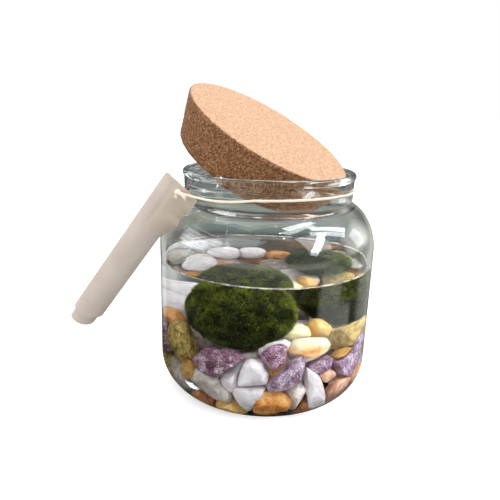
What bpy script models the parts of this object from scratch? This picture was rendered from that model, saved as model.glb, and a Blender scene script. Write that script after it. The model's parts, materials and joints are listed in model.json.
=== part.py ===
"""Marimo moss balls in a corked glass jar of water and pebbles, for Blender 4.5.

World units are metres with +Z up. Sizes below are in millimetres, and MM turns them into metres.
The jar stands on Z = 0 with its axis on Z, and azimuths count from +X, so the front is at 270 degrees.
"""
import math
from collections import namedtuple

import bmesh
import bpy
from mathutils import Matrix, Vector

MM = 0.001
GAP = 0.3  # left between pieces that touch

# Glass jar
JAR_RADIUS = 55.0
WALL = 2.0
CORNER = 19.0  # radius of the rounded bottom edge
SHOULDER_FOOT = 79.0
SHOULDER_TOP = 99.4
SHOULDER_POWER = 1.71  # 2 would be a plain quarter ellipse
NECK_RADIUS = 42.5
NECK_FILLET = 2.5
RIM_HEIGHT = 115.4
BEAD_RADIUS = 1.5
BEAD_HEIGHT = 1.8
JAR_STEPS = 64
CORNER_STEPS = 8
SHOULDER_ANGLES = (0, 12, 24, 36, 48, 60, 70, 77)  # on the shoulder's curve, in degrees

# Water: its solid starts above the highest pebble
WATER_LEVEL = 70.1
WATER_FOOT = 47.6

# Cork stopper, a cone set askew in the mouth
CORK_TOP_RADIUS = 44.0
CORK_FOOT_RADIUS = 39.5
CORK_THICKNESS = 21.8
CORK_BEVEL = 0.8
CORK_TILT = 30.4
CORK_LEAN_AZIMUTH = -24.5
CORK_TOP_CENTRE = (0.2, 0.0, 133.9)
CORK_STEPS = 60

# Twine round the neck, and through the paper roll
TWINE_RADIUS = 0.55
TWINE_HEIGHT = 105.1
TWINE_SLOPE = 2.2  # how much the loop rises and falls round the neck
TWINE_HIGH_AZIMUTH = -50.0
TWINE_STEPS = 54
TWINE_TIE_HEIGHT = 108.2
TWINE_SAG = (0.0, -1.0, -1.8)  # of the free stretch from the knot to the neck, over the flap
KNOT_RADIUS = 1.4
KNOT_SETBACK = 2.1  # in front of the roll
KNOT_SHIFT = 4.0  # to the right of its axis
TAILS = ((6.5, 62.0, 20.0), (3.5, -30.0, 25.0))  # length, turn to the right and turn to the front

# Paper leaflet, rolled up, hanging from the twine across the shoulder
PAPER = 0.35
ROLL_RADIUS = 7.2
ROLL_CORE_RADIUS = 5.0
ROLL_TURNS = 1.6
ROLL_STEPS = 40  # across the sheet, without its flap
ROLL_STATIONS = (0, 5, 10, 15, 20, 25, 30, 45, 65, 88)  # along it
ROLL_SLIP_TOP = 9.0  # how far the inner turns lie below the outer one at the top
ROLL_SLIP_FOOT = 13.0  # and stick out below it at the foot
ROLL_BEHIND = (0.18, 0.38)  # the stretch across the sheet, from its flap, where the top edge turns down
ROLL_TILT = 36.6  # from the vertical
ROLL_AZIMUTH = 164.9
ROLL_NECK_POINT = (-42.0, -28.9, 110.0)  # where the roll's axis passes the neck
ROLL_ABOVE = 4.6
FLAP_LENGTH = 12.0
FLAP_STEPS = 6
FLAP_CURL_RADIUS = 8.0  # of the flap where the roll is shut
FLAP_REACH = 30.0  # the outer turn lies open down to here
FLAP_START = 93.0
FLAP_CORNER = 1.5  # how much its top corner is rounded off
PUNCH_RADIUS = 1.1

# Moss balls: centre and half sizes
Ball = namedtuple("Ball", "name centre half lumps seed subdivisions")
BALLS = (
    Ball("marimo_ball_large", (-10.0, -25.5, 51.2), (24.8, 23.5, 18.2), 0.08, 1.0, 4),
    Ball("marimo_ball_small", (29.8, 14.2, 51.4), (19.6, 19.2, 17.9), 0.08, 4.0, 3),
)

# Pebbles. Each is placed by azimuth, inset from the inside of the glass and height of its centre, and
# sized by its width, height and depth as seen from outside. Lean lifts its right-hand end, in degrees.
Stone = namedtuple("Stone", "name kind azimuth inset height wide tall deep lean")
FRONT_STONES = (
    Stone("olive_left", "olive", 217.5, 9, 33, 18, 23, 14, 22),
    Stone("mauve_left", "mauve", 219, 8, 17, 16, 16, 13, 0),
    Stone("amber_bead", "amber", 225.5, 4.5, 22.5, 8.5, 9.5, 8, 10),
    Stone("purple_large", "purple", 245.5, 8, 29.5, 28, 15, 16, -6),
    Stone("grey_left", "grey", 241, 8.5, 16, 24, 16, 16, -22),
    Stone("white_wedge", "grey", 252, 10, 24, 12, 18, 15, -25),
    Stone("white_middle", "white", 266.5, 7.5, 28.5, 17, 17, 15, 10),
    Stone("white_low", "white", 265, 8.5, 14.5, 21, 18, 16, 20),
    Stone("orange_low", "orange", 275.5, 8, 12.8, 23, 14, 12, -8),
    Stone("purple_small", "purple", 276.5, 7, 36, 15, 13, 12, 50),
    Stone("white_under_ball", "white", 277.5, 12.5, 38.5, 15, 10, 12, 0),
    Stone("purple_slanting", "purple", 283, 6.5, 28.2, 25, 13, 12, 42),
    Stone("white_long", "white", 300, 7.5, 19.5, 11, 30, 13, 20),
    Stone("beige_low", "beige", 288, 10, 14.5, 14, 15, 14, 25),
    Stone("cream_orange_heart", "cream", 297, 10, 36.8, 21, 13, 14, 4),
    Stone("yellow_striped", "striped", 309.5, 36.5, 38, 18, 11, 14, 8),
    Stone("peach_top", "peach", 349, 30.5, 37.5, 13.5, 11, 13, 0),
    Stone("khaki_block", "khaki", 336.5, 12, 34.5, 28, 15, 14, 24),
    Stone("amber_thin", "amber", 321, 8, 31.5, 16, 5, 12, 8),
    Stone("purple_middle", "purple", 302, 8, 29.8, 17, 10, 12, 14),
    Stone("purple_right", "purple", 319, 7, 26.5, 18, 13, 13, 14),
    Stone("lilac_right", "lilac", 337, 7, 28, 12, 20, 12, -12),
    Stone("peach_small", "peach", 308, 4.5, 23.5, 10, 7.5, 8, 0),
    Stone("peach_low", "peach", 317, 8, 14, 16, 16, 15, 25),
    Stone("orange_right", "orange", 336, 7, 16, 12, 10, 12, 0),
    Stone("brown_low", "brown", 297, 9, 9.5, 12, 8, 11, 0),
    Stone("tan_low", "brown", 252, 12, 9, 15, 8, 14, 0),
    Stone("tan_left", "brown", 233, 12, 9.5, 12, 8, 13, -20),
    Stone("grey_behind", "grey", 262, 19, 30, 12, 10, 11, 0),
    Stone("orange_left", "orange", 196, 13, 40, 13, 6.5, 13, -6),
)
BACK_STONES = (
    Stone("white_back_large", "white", 124, 9.5, 39.5, 21, 14, 18, 4),
    Stone("white_back", "white", 103, 12.5, 39, 18, 13, 17, -4),
    Stone("white_back_left", "white", 165, 15, 39.5, 19, 12, 17, -10),
    Stone("beige_back_left", "beige", 148, 8, 35, 19, 10, 14, 6),
    Stone("tan_back", "brown", 150, 25, 35, 13, 9, 13, 0),
    Stone("orange_back", "orange", 78, 15, 37, 16, 11, 15, 5),
    Stone("mauve_back", "mauve", 72, 31, 35, 19, 9, 15, 0),
)
# Rings of stones that nothing in the picture shows: how many, azimuths, inset, height and sizes
Ring = namedtuple("Ring", "name count first last inset height wide tall deep kinds")
HIDDEN_RINGS = (
    Ring("back_low", 6, 352, 556, 13, 13, 27, 19, 22, ("white", "brown", "purple", "grey", "peach", "olive")),
    Ring("back_mid", 5, 2, 186, 11, 27, 27, 17, 19, ("khaki", "beige", "orange", "grey", "purple")),
    Ring("inner_low", 3, 30, 270, 36, 12, 26, 19, 26, ("beige", "grey", "brown")),
    Ring("inner_mid", 2, 20, 190, 36, 28, 26, 15, 24, ("white", "mauve")),
)

PLUMP = 1.12  # stones swell by this before their neighbours flatten them
ROUNDNESS = 2.6  # 2 would be an ellipsoid, and more is boxier
EDGE = 10  # how crisply a flattened side meets the round of a stone
DENT = 0.03  # depth of the shallow dents, as a share of the stone's size
HIDDEN_LEAN = 14.0  # the hidden stones lean up to this much either way
HIDDEN_STEP = 1.5  # and lie up to this much higher or lower
SETTLE_ROUNDS = 60
SETTLE_STEP = 0.25
TOUCH_SHARE = 0.8  # stones may come this close, and flatten each other by the rest
WALL_SHARE = 0.85  # and this close to the glass

# Base colour, roughness and metallic value of each finish
FINISHES = {
    "glass": ((0.80, 0.90, 0.88), 0.03, 0.0),
    "water": ((0.86, 0.93, 0.93), 0.02, 0.0),
    "cork": ((0.62, 0.40, 0.24), 0.90, 0.0),
    "twine": ((0.80, 0.70, 0.54), 0.90, 0.0),
    "paper": ((0.80, 0.75, 0.71), 0.85, 0.0),
    "moss": ((0.06, 0.11, 0.02), 0.95, 0.0),
    "white": ((0.82, 0.80, 0.80), 0.35, 0.0),
    "grey": ((0.66, 0.65, 0.64), 0.40, 0.0),
    "purple": ((0.26, 0.13, 0.22), 0.25, 0.0),
    "lilac": ((0.50, 0.38, 0.56), 0.30, 0.0),
    "mauve": ((0.40, 0.34, 0.36), 0.40, 0.0),
    "orange": ((0.80, 0.38, 0.10), 0.35, 0.0),
    "peach": ((0.82, 0.55, 0.38), 0.35, 0.0),
    "cream": ((0.86, 0.74, 0.58), 0.35, 0.0),
    "striped": ((0.80, 0.70, 0.42), 0.35, 0.0),
    "beige": ((0.74, 0.68, 0.60), 0.40, 0.0),
    "khaki": ((0.50, 0.42, 0.20), 0.40, 0.0),
    "olive": ((0.34, 0.30, 0.13), 0.40, 0.0),
    "amber": ((0.70, 0.42, 0.14), 0.30, 0.0),
    "brown": ((0.52, 0.33, 0.18), 0.45, 0.0),
}


def finish(name):
    """The material of one finish, made once."""
    found = bpy.data.materials.get(name)
    if found:
        return found
    colour, roughness, metallic = FINISHES[name]
    material = bpy.data.materials.new(name)
    material.use_nodes = True
    shader = material.node_tree.nodes["Principled BSDF"]
    shader.inputs["Base Color"].default_value = (*colour, 1.0)
    shader.inputs["Roughness"].default_value = roughness
    shader.inputs["Metallic"].default_value = metallic
    return material


def add_object(name, bm, finish_name):
    """Link a bmesh to the scene as one named object and free it."""
    mesh = bpy.data.meshes.new(name)
    bm.to_mesh(mesh)
    bm.free()
    mesh.materials.append(finish(finish_name))
    made = bpy.data.objects.new(name, mesh)
    bpy.context.scene.collection.objects.link(made)
    return made


def turned(outline, steps):
    """Closed bmesh turned about Z from (radius, height) points that start and end on the axis."""
    bm = bmesh.new()
    verts = [bm.verts.new((r * MM, 0.0, z * MM)) for r, z in outline]
    edges = [bm.edges.new(pair) for pair in zip(verts, verts[1:])]
    bmesh.ops.spin(
        bm,
        geom=verts + edges,
        cent=(0.0, 0.0, 0.0),
        axis=(0.0, 0.0, 1.0),
        angle=math.tau,
        steps=steps,
        use_merge=True,
    )
    bmesh.ops.remove_doubles(bm, verts=bm.verts, dist=1e-7)
    bmesh.ops.recalc_face_normals(bm, faces=bm.faces)
    return bm


def polar(azimuth, radius, height=0.0):
    """Point at an azimuth in degrees round the jar's axis."""
    a = math.radians(azimuth)
    return Vector((radius * math.cos(a), radius * math.sin(a), height))


def jar_line(inset):
    """The jar's surface from the middle of its floor to below its rim, moved into the glass by inset."""
    corner = (JAR_RADIUS - CORNER, CORNER)
    line = [(0.0, inset)]
    for step in range(CORNER_STEPS + 1):
        a = math.radians(-90 + step * 90 / CORNER_STEPS)
        reach = CORNER - inset
        line.append((corner[0] + reach * math.cos(a), corner[1] + reach * math.sin(a)))
    neck, top = NECK_RADIUS - inset, SHOULDER_TOP - inset
    wide, tall = JAR_RADIUS - NECK_RADIUS, top - SHOULDER_FOOT
    for degrees in SHOULDER_ANGLES:
        a = math.radians(degrees)
        across = math.cos(a) ** (2 / SHOULDER_POWER)
        up = math.sin(a) ** (2 / SHOULDER_POWER)
        line.append((neck + wide * across, SHOULDER_FOOT + tall * up))
    start, end = Vector(line[-1]), Vector((neck, top + NECK_FILLET))
    turn = Vector((neck, top))
    for t in (1 / 3, 2 / 3, 1.0):
        point = start * (1 - t) ** 2 + turn * 2 * t * (1 - t) + end * t**2
        line.append(tuple(point))
    return line


def add_jar():
    """Blown glass jar with a flat foot, open at the mouth."""
    bead = []
    for degrees in range(-60, 201, 20):
        a = math.radians(degrees)
        across = NECK_RADIUS - WALL + BEAD_RADIUS * (1 + math.cos(a))
        bead.append((across, RIM_HEIGHT - BEAD_HEIGHT + BEAD_HEIGHT * math.sin(a)))
    outline = jar_line(0.0) + bead + jar_line(WALL)[::-1]
    return add_object("glass_jar", turned(outline, JAR_STEPS), "glass")


def room_inside(point):
    """How far a point is inside the jar's inner surface below the shoulder."""
    across = math.hypot(point.x, point.y) - (JAR_RADIUS - CORNER)
    down = max(CORNER - point.z, 0.0)
    if across > 0:
        return CORNER - WALL - math.hypot(across, down)
    return CORNER - WALL - down if down > 0 else CORNER - WALL - across


def wall_distance(centre, direction):
    """Distance from a point to the inside of the glass along a direction, less the gap."""
    near, far = 0.0, 3 * JAR_RADIUS
    for _ in range(30):
        middle = (near + far) / 2
        if room_inside(centre + direction * middle) > GAP:
            near = middle
        else:
            far = middle
    return near


Body = namedtuple("Body", "name kind centre frame half freedom")


def stone_body(stone, freedom):
    """A stone's centre, its own axes and half sizes, and how freely it gives way to its neighbours."""
    inner = JAR_RADIUS - WALL
    centre = polar(stone.azimuth, inner - stone.inset, stone.height)
    outward = polar(stone.azimuth, 1.0)
    frame = Matrix((Vector((0, 0, 1)).cross(outward), Vector((0, 0, 1)), outward)).transposed()
    frame = frame @ Matrix.Rotation(math.radians(stone.lean), 3, "Z")
    half = [PLUMP * size / 2 for size in (stone.wide, stone.tall, stone.deep)]
    return Body("pebble_" + stone.name, stone.kind, centre, frame, half, freedom)


def ball_body(ball):
    return Body(ball.name, "moss", Vector(ball.centre), Matrix.Identity(3), ball.half, 0.0)


def hidden_stones():
    """The rings of stones that the picture doesn't show."""
    for ring in HIDDEN_RINGS:
        for i in range(ring.count):
            azimuth = ring.first + (ring.last - ring.first) * i / (ring.count - 1)
            lean = HIDDEN_LEAN * math.sin(2.4 * i + ring.height)
            yield Stone(
                f"{ring.name}_{i + 1}",
                ring.kinds[i],
                azimuth,
                ring.inset,
                ring.height + HIDDEN_STEP * math.cos(1.9 * i),
                ring.wide,
                ring.tall,
                ring.deep,
                lean,
            )


def spread(body):
    """The matrix of a body's ellipsoid, with its squared half sizes on its own axes."""
    squares = Matrix.Diagonal([h * h for h in body.half])
    return body.frame @ squares @ body.frame.transposed()


def facing(body, other):
    """The direction in which two bodies meet, how far each reaches along it, and the room between centres."""
    own, theirs = spread(body), spread(other)
    apart = other.centre - body.centre
    normal = ((own + theirs).inverted() @ apart).normalized()
    reach = math.sqrt(normal.dot(own @ normal))
    other_reach = math.sqrt(normal.dot(theirs @ normal))
    return normal, reach, other_reach, apart.dot(normal) - GAP


def settle(bodies):
    """Push overlapping bodies apart in small steps, and back from the glass, until they share the room."""
    for _ in range(SETTLE_ROUNDS):
        pushes = [Vector() for _ in bodies]
        for i, body in enumerate(bodies):
            for j in range(i):
                if body.freedom + bodies[j].freedom == 0:
                    continue
                normal, reach, other_reach, room = facing(body, bodies[j])
                excess = (reach + other_reach) * TOUCH_SHARE - room
                if excess > 0:
                    pushes[i] -= normal * excess * body.freedom
                    pushes[j] += normal * excess * bodies[j].freedom
        for body, push in zip(bodies, pushes):
            body.centre.xyz += push * SETTLE_STEP
            if body.freedom:
                hold_inside(body)


def hold_inside(body):
    """Bring a stone back so that its reach towards the glass and the floor fits."""
    outward = polar(math.degrees(math.atan2(body.centre.y, body.centre.x)), 1.0)
    for direction in (outward, Vector((0, 0, -1)), (outward - Vector((0, 0, 1))).normalized()):
        reach = WALL_SHARE * math.sqrt(direction.dot(spread(body) @ direction))
        short = reach - wall_distance(body.centre, direction)
        if short > 0:
            body.centre.xyz -= direction * short


def cut_between(body, other):
    """The plane that keeps a stone clear of its neighbour, as (normal, distance), or None if they are apart."""
    normal, reach, other_reach, room = facing(body, other)
    if reach + other_reach <= room:
        return None
    if other.kind == "moss":
        return normal, room - other_reach
    return normal, room * reach / (reach + other_reach)


def add_stone(body, bodies):
    """Pebble, rounded off wherever the glass or a neighbour meets it."""
    cuts = [cut_between(body, other) for other in bodies if other is not body]
    cuts = [cut for cut in cuts if cut]
    bm = bmesh.new()
    bmesh.ops.create_uvsphere(bm, u_segments=12, v_segments=7, radius=1.0)
    seed = body.centre.x + 2 * body.centre.y + 3 * body.centre.z
    for vert in bm.verts:
        local = Vector([c * h for c, h in zip(vert.co, body.half)])
        direction = (body.frame @ local).normalized()
        own = body.frame.transposed() @ direction
        pull = sum(abs(c / h) ** ROUNDNESS for c, h in zip(own, body.half)) ** (EDGE / ROUNDNESS)
        pull += (1 / wall_distance(body.centre, direction)) ** EDGE
        for normal, distance in cuts:
            pull += max(direction.dot(normal) / distance, 0.0) ** EDGE
        dent = DENT * (1 + math.sin(3 * own.x + seed) * math.sin(4 * own.y - seed))
        vert.co = (body.centre + direction * pull ** (-1 / EDGE) * (1 - dent)) * MM
    return add_object(body.name, bm, body.kind)


def add_ball(ball):
    """Moss ball out to the tips of its threads, with shallow hollows."""
    bm = bmesh.new()
    bmesh.ops.create_icosphere(bm, subdivisions=ball.subdivisions, radius=1.0)
    for vert in bm.verts:
        d = vert.co.normalized()
        wave = math.sin(3.1 * d.x + ball.seed) * math.sin(2.7 * d.y - ball.seed) * math.sin(3.7 * d.z + 2 * ball.seed)
        wave += 0.5 * math.sin(6.3 * d.x - ball.seed) * math.sin(5.9 * d.y + ball.seed) * math.cos(5.1 * d.z)
        hollow = ball.lumps * (0.5 - wave / 3)
        vert.co = (Vector(ball.centre) + Vector([c * h for c, h in zip(d, ball.half)]) * (1 - hollow)) * MM
    return add_object(ball.name, bm, "moss")


def add_water():
    """Water above the pebbles, open below round each moss ball."""
    radius = JAR_RADIUS - WALL - GAP
    outline = [(0.0, WATER_FOOT), (radius, WATER_FOOT), (radius, WATER_LEVEL), (0.0, WATER_LEVEL)]
    water = add_object("water", turned(outline, JAR_STEPS), "water")
    for ball in BALLS:
        bm = bmesh.new()
        bmesh.ops.create_icosphere(bm, subdivisions=4, radius=1.0)
        half = [h + GAP for h in ball.half]
        for vert in bm.verts:
            vert.co = (Vector(ball.centre) + Vector([c * h for c, h in zip(vert.co, half)])) * MM
        pocket = add_object(ball.name + "_pocket", bm, "water")
        pocket.hide_render = True
        cut = water.modifiers.new("pocket", "BOOLEAN")
        cut.operation = "DIFFERENCE"
        cut.object = pocket
    return water


def add_cork():
    """Tapered stopper with small bevels, leaning in the mouth."""
    foot, top, bevel = CORK_FOOT_RADIUS, CORK_TOP_RADIUS, CORK_BEVEL
    outline = [
        (0.0, -CORK_THICKNESS),
        (foot - bevel, -CORK_THICKNESS),
        (foot, -CORK_THICKNESS + bevel),
        (top, -bevel),
        (top - bevel, 0.0),
        (0.0, 0.0),
    ]
    cork = add_object("cork_stopper", turned(outline, CORK_STEPS), "cork")
    cork.location = Vector(CORK_TOP_CENTRE) * MM
    cork.rotation_euler = (0.0, math.radians(CORK_TILT), math.radians(CORK_LEAN_AZIMUTH))
    return cork


def roll_axes():
    """The paper roll's own directions: down its axis, to its right and to its front."""
    tilt = math.radians(ROLL_TILT)
    down = polar(ROLL_AZIMUTH, math.sin(tilt), -math.cos(tilt))
    front = Vector((0, -1, 0))
    front = (front - down * front.dot(down)).normalized()
    return down, front.cross(down), front


def roll_section(open_share):
    """Points across the rolled sheet, inner edge first, as (right, front). Open share 1 lays the flap flat."""
    points = []
    for i in range(ROLL_STEPS + 1):
        left = 1 - i / ROLL_STEPS
        a = math.radians(FLAP_START + 360 * ROLL_TURNS * left)
        radius = ROLL_RADIUS - (ROLL_RADIUS - ROLL_CORE_RADIUS) * left
        points.append(Vector((radius * math.cos(a), radius * math.sin(a))))
    heading = math.radians(FLAP_START - 90)
    step = FLAP_LENGTH / FLAP_STEPS
    for _ in range(FLAP_STEPS):
        heading -= (1 - open_share) * step / FLAP_CURL_RADIUS
        points.append(points[-1] + Vector((math.cos(heading), math.sin(heading))) * step)
    return points


def twine_route():
    """The twine's loop: round the neck, and out through the roll, where it is knotted."""
    reach = NECK_RADIUS + GAP + TWINE_RADIUS
    down, right, front = roll_axes()
    hole = Vector(ROLL_NECK_POINT) + front * (ROLL_RADIUS + KNOT_SETBACK) + right * KNOT_SHIFT
    hole.z = TWINE_TIE_HEIGHT
    bearing = math.degrees(math.atan2(hole.y, hole.x))
    free = math.degrees(math.acos(reach / hole.xy.length))
    route = []
    for step in range(TWINE_STEPS + 1):
        azimuth = bearing + free + (360 - 2 * free) * step / TWINE_STEPS
        rise = TWINE_SLOPE * math.cos(math.radians(azimuth - TWINE_HIGH_AZIMUTH))
        route.append(polar(azimuth, reach, TWINE_HEIGHT + rise))
    return route, hole


def add_twine():
    """Twine in one piece with its knot and two short ends."""
    route, hole = twine_route()
    curve = bpy.data.curves.new("twine", "CURVE")
    curve.dimensions = "3D"
    curve.bevel_depth = TWINE_RADIUS * MM
    curve.bevel_resolution = 2
    spline = curve.splines.new("POLY")
    last, first = route[-1], route[0]
    joins = [last.lerp(hole, t / 8) for t in range(1, 9)]
    for t in range(1, 8):
        joins.append(hole.lerp(first, t / 8) + Vector(TWINE_SAG) * math.sin(math.pi * t / 8))
    points = route + joins
    spline.points.add(len(points) - 1)
    for slot, point in zip(spline.points, points):
        slot.co = (*(point * MM), 1.0)
    spline.use_cyclic_u = True
    loop = bpy.data.objects.new("twine_loop", curve)
    bpy.context.scene.collection.objects.link(loop)
    bpy.context.view_layer.update()
    mesh = bpy.data.meshes.new_from_object(loop.evaluated_get(bpy.context.evaluated_depsgraph_get()))
    bpy.data.objects.remove(loop)
    mesh.materials.clear()
    mesh.materials.append(finish("twine"))
    twine = bpy.data.objects.new("twine", mesh)
    bpy.context.scene.collection.objects.link(twine)
    add_knot(twine, hole)
    return twine


def add_knot(twine, place):
    """Fuse the knot and its ends to the twine."""
    knot = bmesh.new()
    bmesh.ops.create_icosphere(knot, subdivisions=3, radius=KNOT_RADIUS * MM)
    bmesh.ops.translate(knot, verts=knot.verts, vec=place * MM)
    lumps = [add_object("twine_knot", knot, "twine")]
    for length, sideways, forwards in TAILS:
        tail = bmesh.new()
        bmesh.ops.create_cone(
            tail,
            cap_ends=True,
            segments=8,
            radius1=TWINE_RADIUS * MM,
            radius2=TWINE_RADIUS * MM,
            depth=length * MM,
        )
        bmesh.ops.translate(tail, verts=tail.verts, vec=(0.0, 0.0, -length / 2 * MM))
        turn = Matrix.Rotation(math.radians(-sideways), 3, "Y") @ Matrix.Rotation(math.radians(-forwards), 3, "X")
        bmesh.ops.rotate(tail, verts=tail.verts, cent=(0, 0, 0), matrix=turn)
        bmesh.ops.translate(tail, verts=tail.verts, vec=place * MM)
        lumps.append(add_object(f"twine_tail_{len(lumps)}", tail, "twine"))
    for lump in lumps:
        lump.hide_render = True
        fuse = twine.modifiers.new(lump.name, "BOOLEAN")
        fuse.operation = "UNION"
        fuse.object = lump


def add_scroll():
    """Rolled leaflet with its outer turn open at the top, and a hole punched for the twine."""
    down, right, front = roll_axes()
    bm = bmesh.new()
    rows = []
    length = ROLL_STATIONS[-1]
    for station in ROLL_STATIONS:
        open_share = max(0.0, 1 - station / FLAP_REACH)
        section = roll_section(open_share**0.7 if open_share else 0.0)
        row = []
        for i, point in enumerate(section):
            inner = 1 - i / (len(section) - 1)
            flap = max(0.0, 1 - inner * len(section) / (FLAP_STEPS + 1))
            behind = min(max((inner - ROLL_BEHIND[0]) / (ROLL_BEHIND[1] - ROLL_BEHIND[0]), 0.0), 1.0)
            top = ROLL_SLIP_TOP * behind**2 * (3 - 2 * behind) + FLAP_CORNER * flap**2
            along = top + (length + ROLL_SLIP_FOOT * inner - top) * station / length - ROLL_ABOVE
            place = Vector(ROLL_NECK_POINT) + down * along + right * point.x + front * point.y
            row.append(bm.verts.new(place * MM))
        rows.append(row)
    for upper, lower in zip(rows, rows[1:]):
        for i in range(len(upper) - 1):
            bm.faces.new((upper[i], upper[i + 1], lower[i + 1], lower[i]))
    scroll = add_object("paper_scroll", bm, "paper")
    thick = scroll.modifiers.new("thickness", "SOLIDIFY")
    thick.thickness = PAPER * MM
    thick.offset = 0.0
    punch = bmesh.new()
    route, hole = twine_route()
    along = hole - route[-1]
    bmesh.ops.create_cone(
        punch,
        cap_ends=True,
        segments=16,
        radius1=PUNCH_RADIUS * MM,
        radius2=PUNCH_RADIUS * MM,
        depth=2 * along.length * MM,
    )
    turn = Vector((0, 0, 1)).rotation_difference(along.normalized()).to_matrix()
    bmesh.ops.rotate(punch, verts=punch.verts, cent=(0, 0, 0), matrix=turn)
    bmesh.ops.translate(punch, verts=punch.verts, vec=hole * MM)
    helper = add_object("paper_punch", punch, "paper")
    helper.hide_render = True
    cut = scroll.modifiers.new("hole", "BOOLEAN")
    cut.operation = "DIFFERENCE"
    cut.object = helper
    return scroll


def build():
    for old in list(bpy.data.objects):
        bpy.data.objects.remove(old)
    add_jar()
    add_water()
    stones = [stone_body(stone, 0.0) for stone in (*FRONT_STONES, *BACK_STONES)]
    stones += [stone_body(stone, 1.0) for stone in hidden_stones()]
    bodies = stones + [ball_body(ball) for ball in BALLS]
    settle(bodies)
    for stone in stones:
        add_stone(stone, bodies)
    for ball in BALLS:
        add_ball(ball)
    add_cork()
    add_twine()
    add_scroll()


build()
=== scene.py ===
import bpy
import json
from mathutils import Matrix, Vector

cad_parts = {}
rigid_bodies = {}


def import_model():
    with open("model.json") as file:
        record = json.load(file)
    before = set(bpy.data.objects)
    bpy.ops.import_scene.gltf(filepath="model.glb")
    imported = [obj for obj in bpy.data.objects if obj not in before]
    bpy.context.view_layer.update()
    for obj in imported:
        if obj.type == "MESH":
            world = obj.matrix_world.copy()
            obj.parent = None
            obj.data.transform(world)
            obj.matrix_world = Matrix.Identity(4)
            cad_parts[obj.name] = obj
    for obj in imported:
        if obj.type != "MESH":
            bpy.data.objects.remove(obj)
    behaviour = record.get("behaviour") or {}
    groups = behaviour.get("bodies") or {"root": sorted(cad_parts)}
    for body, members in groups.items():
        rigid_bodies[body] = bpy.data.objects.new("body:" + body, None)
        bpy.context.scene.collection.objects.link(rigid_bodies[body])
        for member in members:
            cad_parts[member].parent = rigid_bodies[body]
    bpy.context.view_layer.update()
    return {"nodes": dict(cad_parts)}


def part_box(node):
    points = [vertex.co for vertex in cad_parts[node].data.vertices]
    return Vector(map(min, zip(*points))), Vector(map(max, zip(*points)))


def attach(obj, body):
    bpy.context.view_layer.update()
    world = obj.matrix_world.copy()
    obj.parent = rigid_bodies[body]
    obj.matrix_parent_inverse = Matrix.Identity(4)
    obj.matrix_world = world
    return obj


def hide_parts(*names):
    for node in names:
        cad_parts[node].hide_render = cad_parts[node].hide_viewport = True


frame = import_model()
print("solids:", len(frame["nodes"]))
# %% [markdown]
# ## The camera
# The picture was taken from close by, a little above the water, looking down by about sixteen degrees. The
# camera's axes are worked out from its turn, its dip and its slight lean, because the jar's outline and the
# ellipse of the water line only agree with the picture for one such set.
# %% Camera
import json
import math
import random

import bmesh
import bpy
import numpy as np
from mathutils import Matrix, Vector, noise

TURN, DIP, LEAN = -0.0334986, 0.2834358, 0.0318765
EYE = Vector((0.0, -0.25284, 0.14589))
ahead = Vector((math.sin(TURN) * math.cos(DIP), math.cos(TURN) * math.cos(DIP), -math.sin(DIP)))
level = Vector((math.cos(TURN), -math.sin(TURN), 0.0))
lift = level.cross(ahead)
across = level * math.cos(LEAN) + lift * math.sin(LEAN)
upward = lift * math.cos(LEAN) - level * math.sin(LEAN)
camera_data = bpy.data.cameras.new("camera")
camera_data.lens = 35.847
camera_data.sensor_width = 36.0
camera = bpy.data.objects.new("camera", camera_data)
camera.matrix_world = Matrix((across, upward, -ahead)).transposed().to_4x4()
camera.matrix_world.translation = EYE
bpy.context.scene.collection.objects.link(camera)
bpy.context.scene.camera = camera
bpy.context.scene.view_settings.view_transform = "Standard"
print("camera at", tuple(round(c, 3) for c in EYE))
# %% [markdown]
# ## Moves made by hand
# Each piece is shaped with the same few moves that a person makes by hand: pick an object, go into edit
# mode, extrude, spin, merge, and finish with modifiers that are applied. Sizes are written in millimetres.
# %% Picking, editing and applying
MM = 0.001


def pick(*pieces):
    """Select these objects alone, with the first one active."""
    bpy.ops.object.select_all(action="DESELECT")
    for piece in pieces:
        piece.select_set(True)
    bpy.context.view_layer.objects.active = pieces[0]


def edit_all(piece):
    """Go into edit mode with everything selected."""
    pick(piece)
    bpy.ops.object.mode_set(mode="EDIT")
    bpy.ops.mesh.select_all(action="SELECT")


def use_modifier(piece, kind, **settings):
    """Add a modifier, set it and apply it."""
    pick(piece)
    modifier = piece.modifiers.new(kind.lower(), kind)
    for name, value in settings.items():
        setattr(modifier, name, value)
    bpy.ops.object.modifier_apply(modifier=modifier.name)


print("one millimetre is", MM, "metres here")
# %% [markdown]
# Waves, dents and pressed outlines touch every point of a mesh. They could be sculpted, but a rule for all
# points at once gives the same result each time, so a mesh is read as rows of numbers, changed, and written
# back.
# %% Points of a mesh


def points_of(piece):
    """A mesh's points in millimetres, as rows of x, y and z."""
    flat = np.empty(len(piece.data.vertices) * 3)
    piece.data.vertices.foreach_get("co", flat)
    return flat.reshape(-1, 3) / MM


def move_points(piece, places):
    """Put a mesh's points at these places in millimetres."""
    piece.data.vertices.foreach_set("co", (places * MM).ravel())
    piece.data.update()


def normals_of(piece):
    """The outward direction at each point of a mesh."""
    flat = np.empty(len(piece.data.vertices) * 3)
    piece.data.vertices.foreach_get("normal", flat)
    return flat.reshape(-1, 3)


def unit(rows):
    """Each row of numbers scaled to length 1."""
    return rows / np.maximum(np.linalg.norm(rows, axis=1), 1e-9)[:, None]


def waves(places, size, shift=0.0):
    """Smooth noise from -1 to 1 at each place, with bumps about this size in millimetres."""
    return np.array([noise.noise(Vector(p) / size + Vector((shift, 0, 0))) for p in places])


print("waves at the origin and 1 mm off:", waves(np.array([(0.0, 0.0, 0.0), (1.0, 0.0, 0.0)]), 3.0).round(3))
# %% [markdown]
# ## Helpers for finishes
# Every finish is procedural. A wire is one output of a node, and adding or multiplying wires adds the Math
# nodes, so a pattern reads like a formula.
# %% Wires


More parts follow.
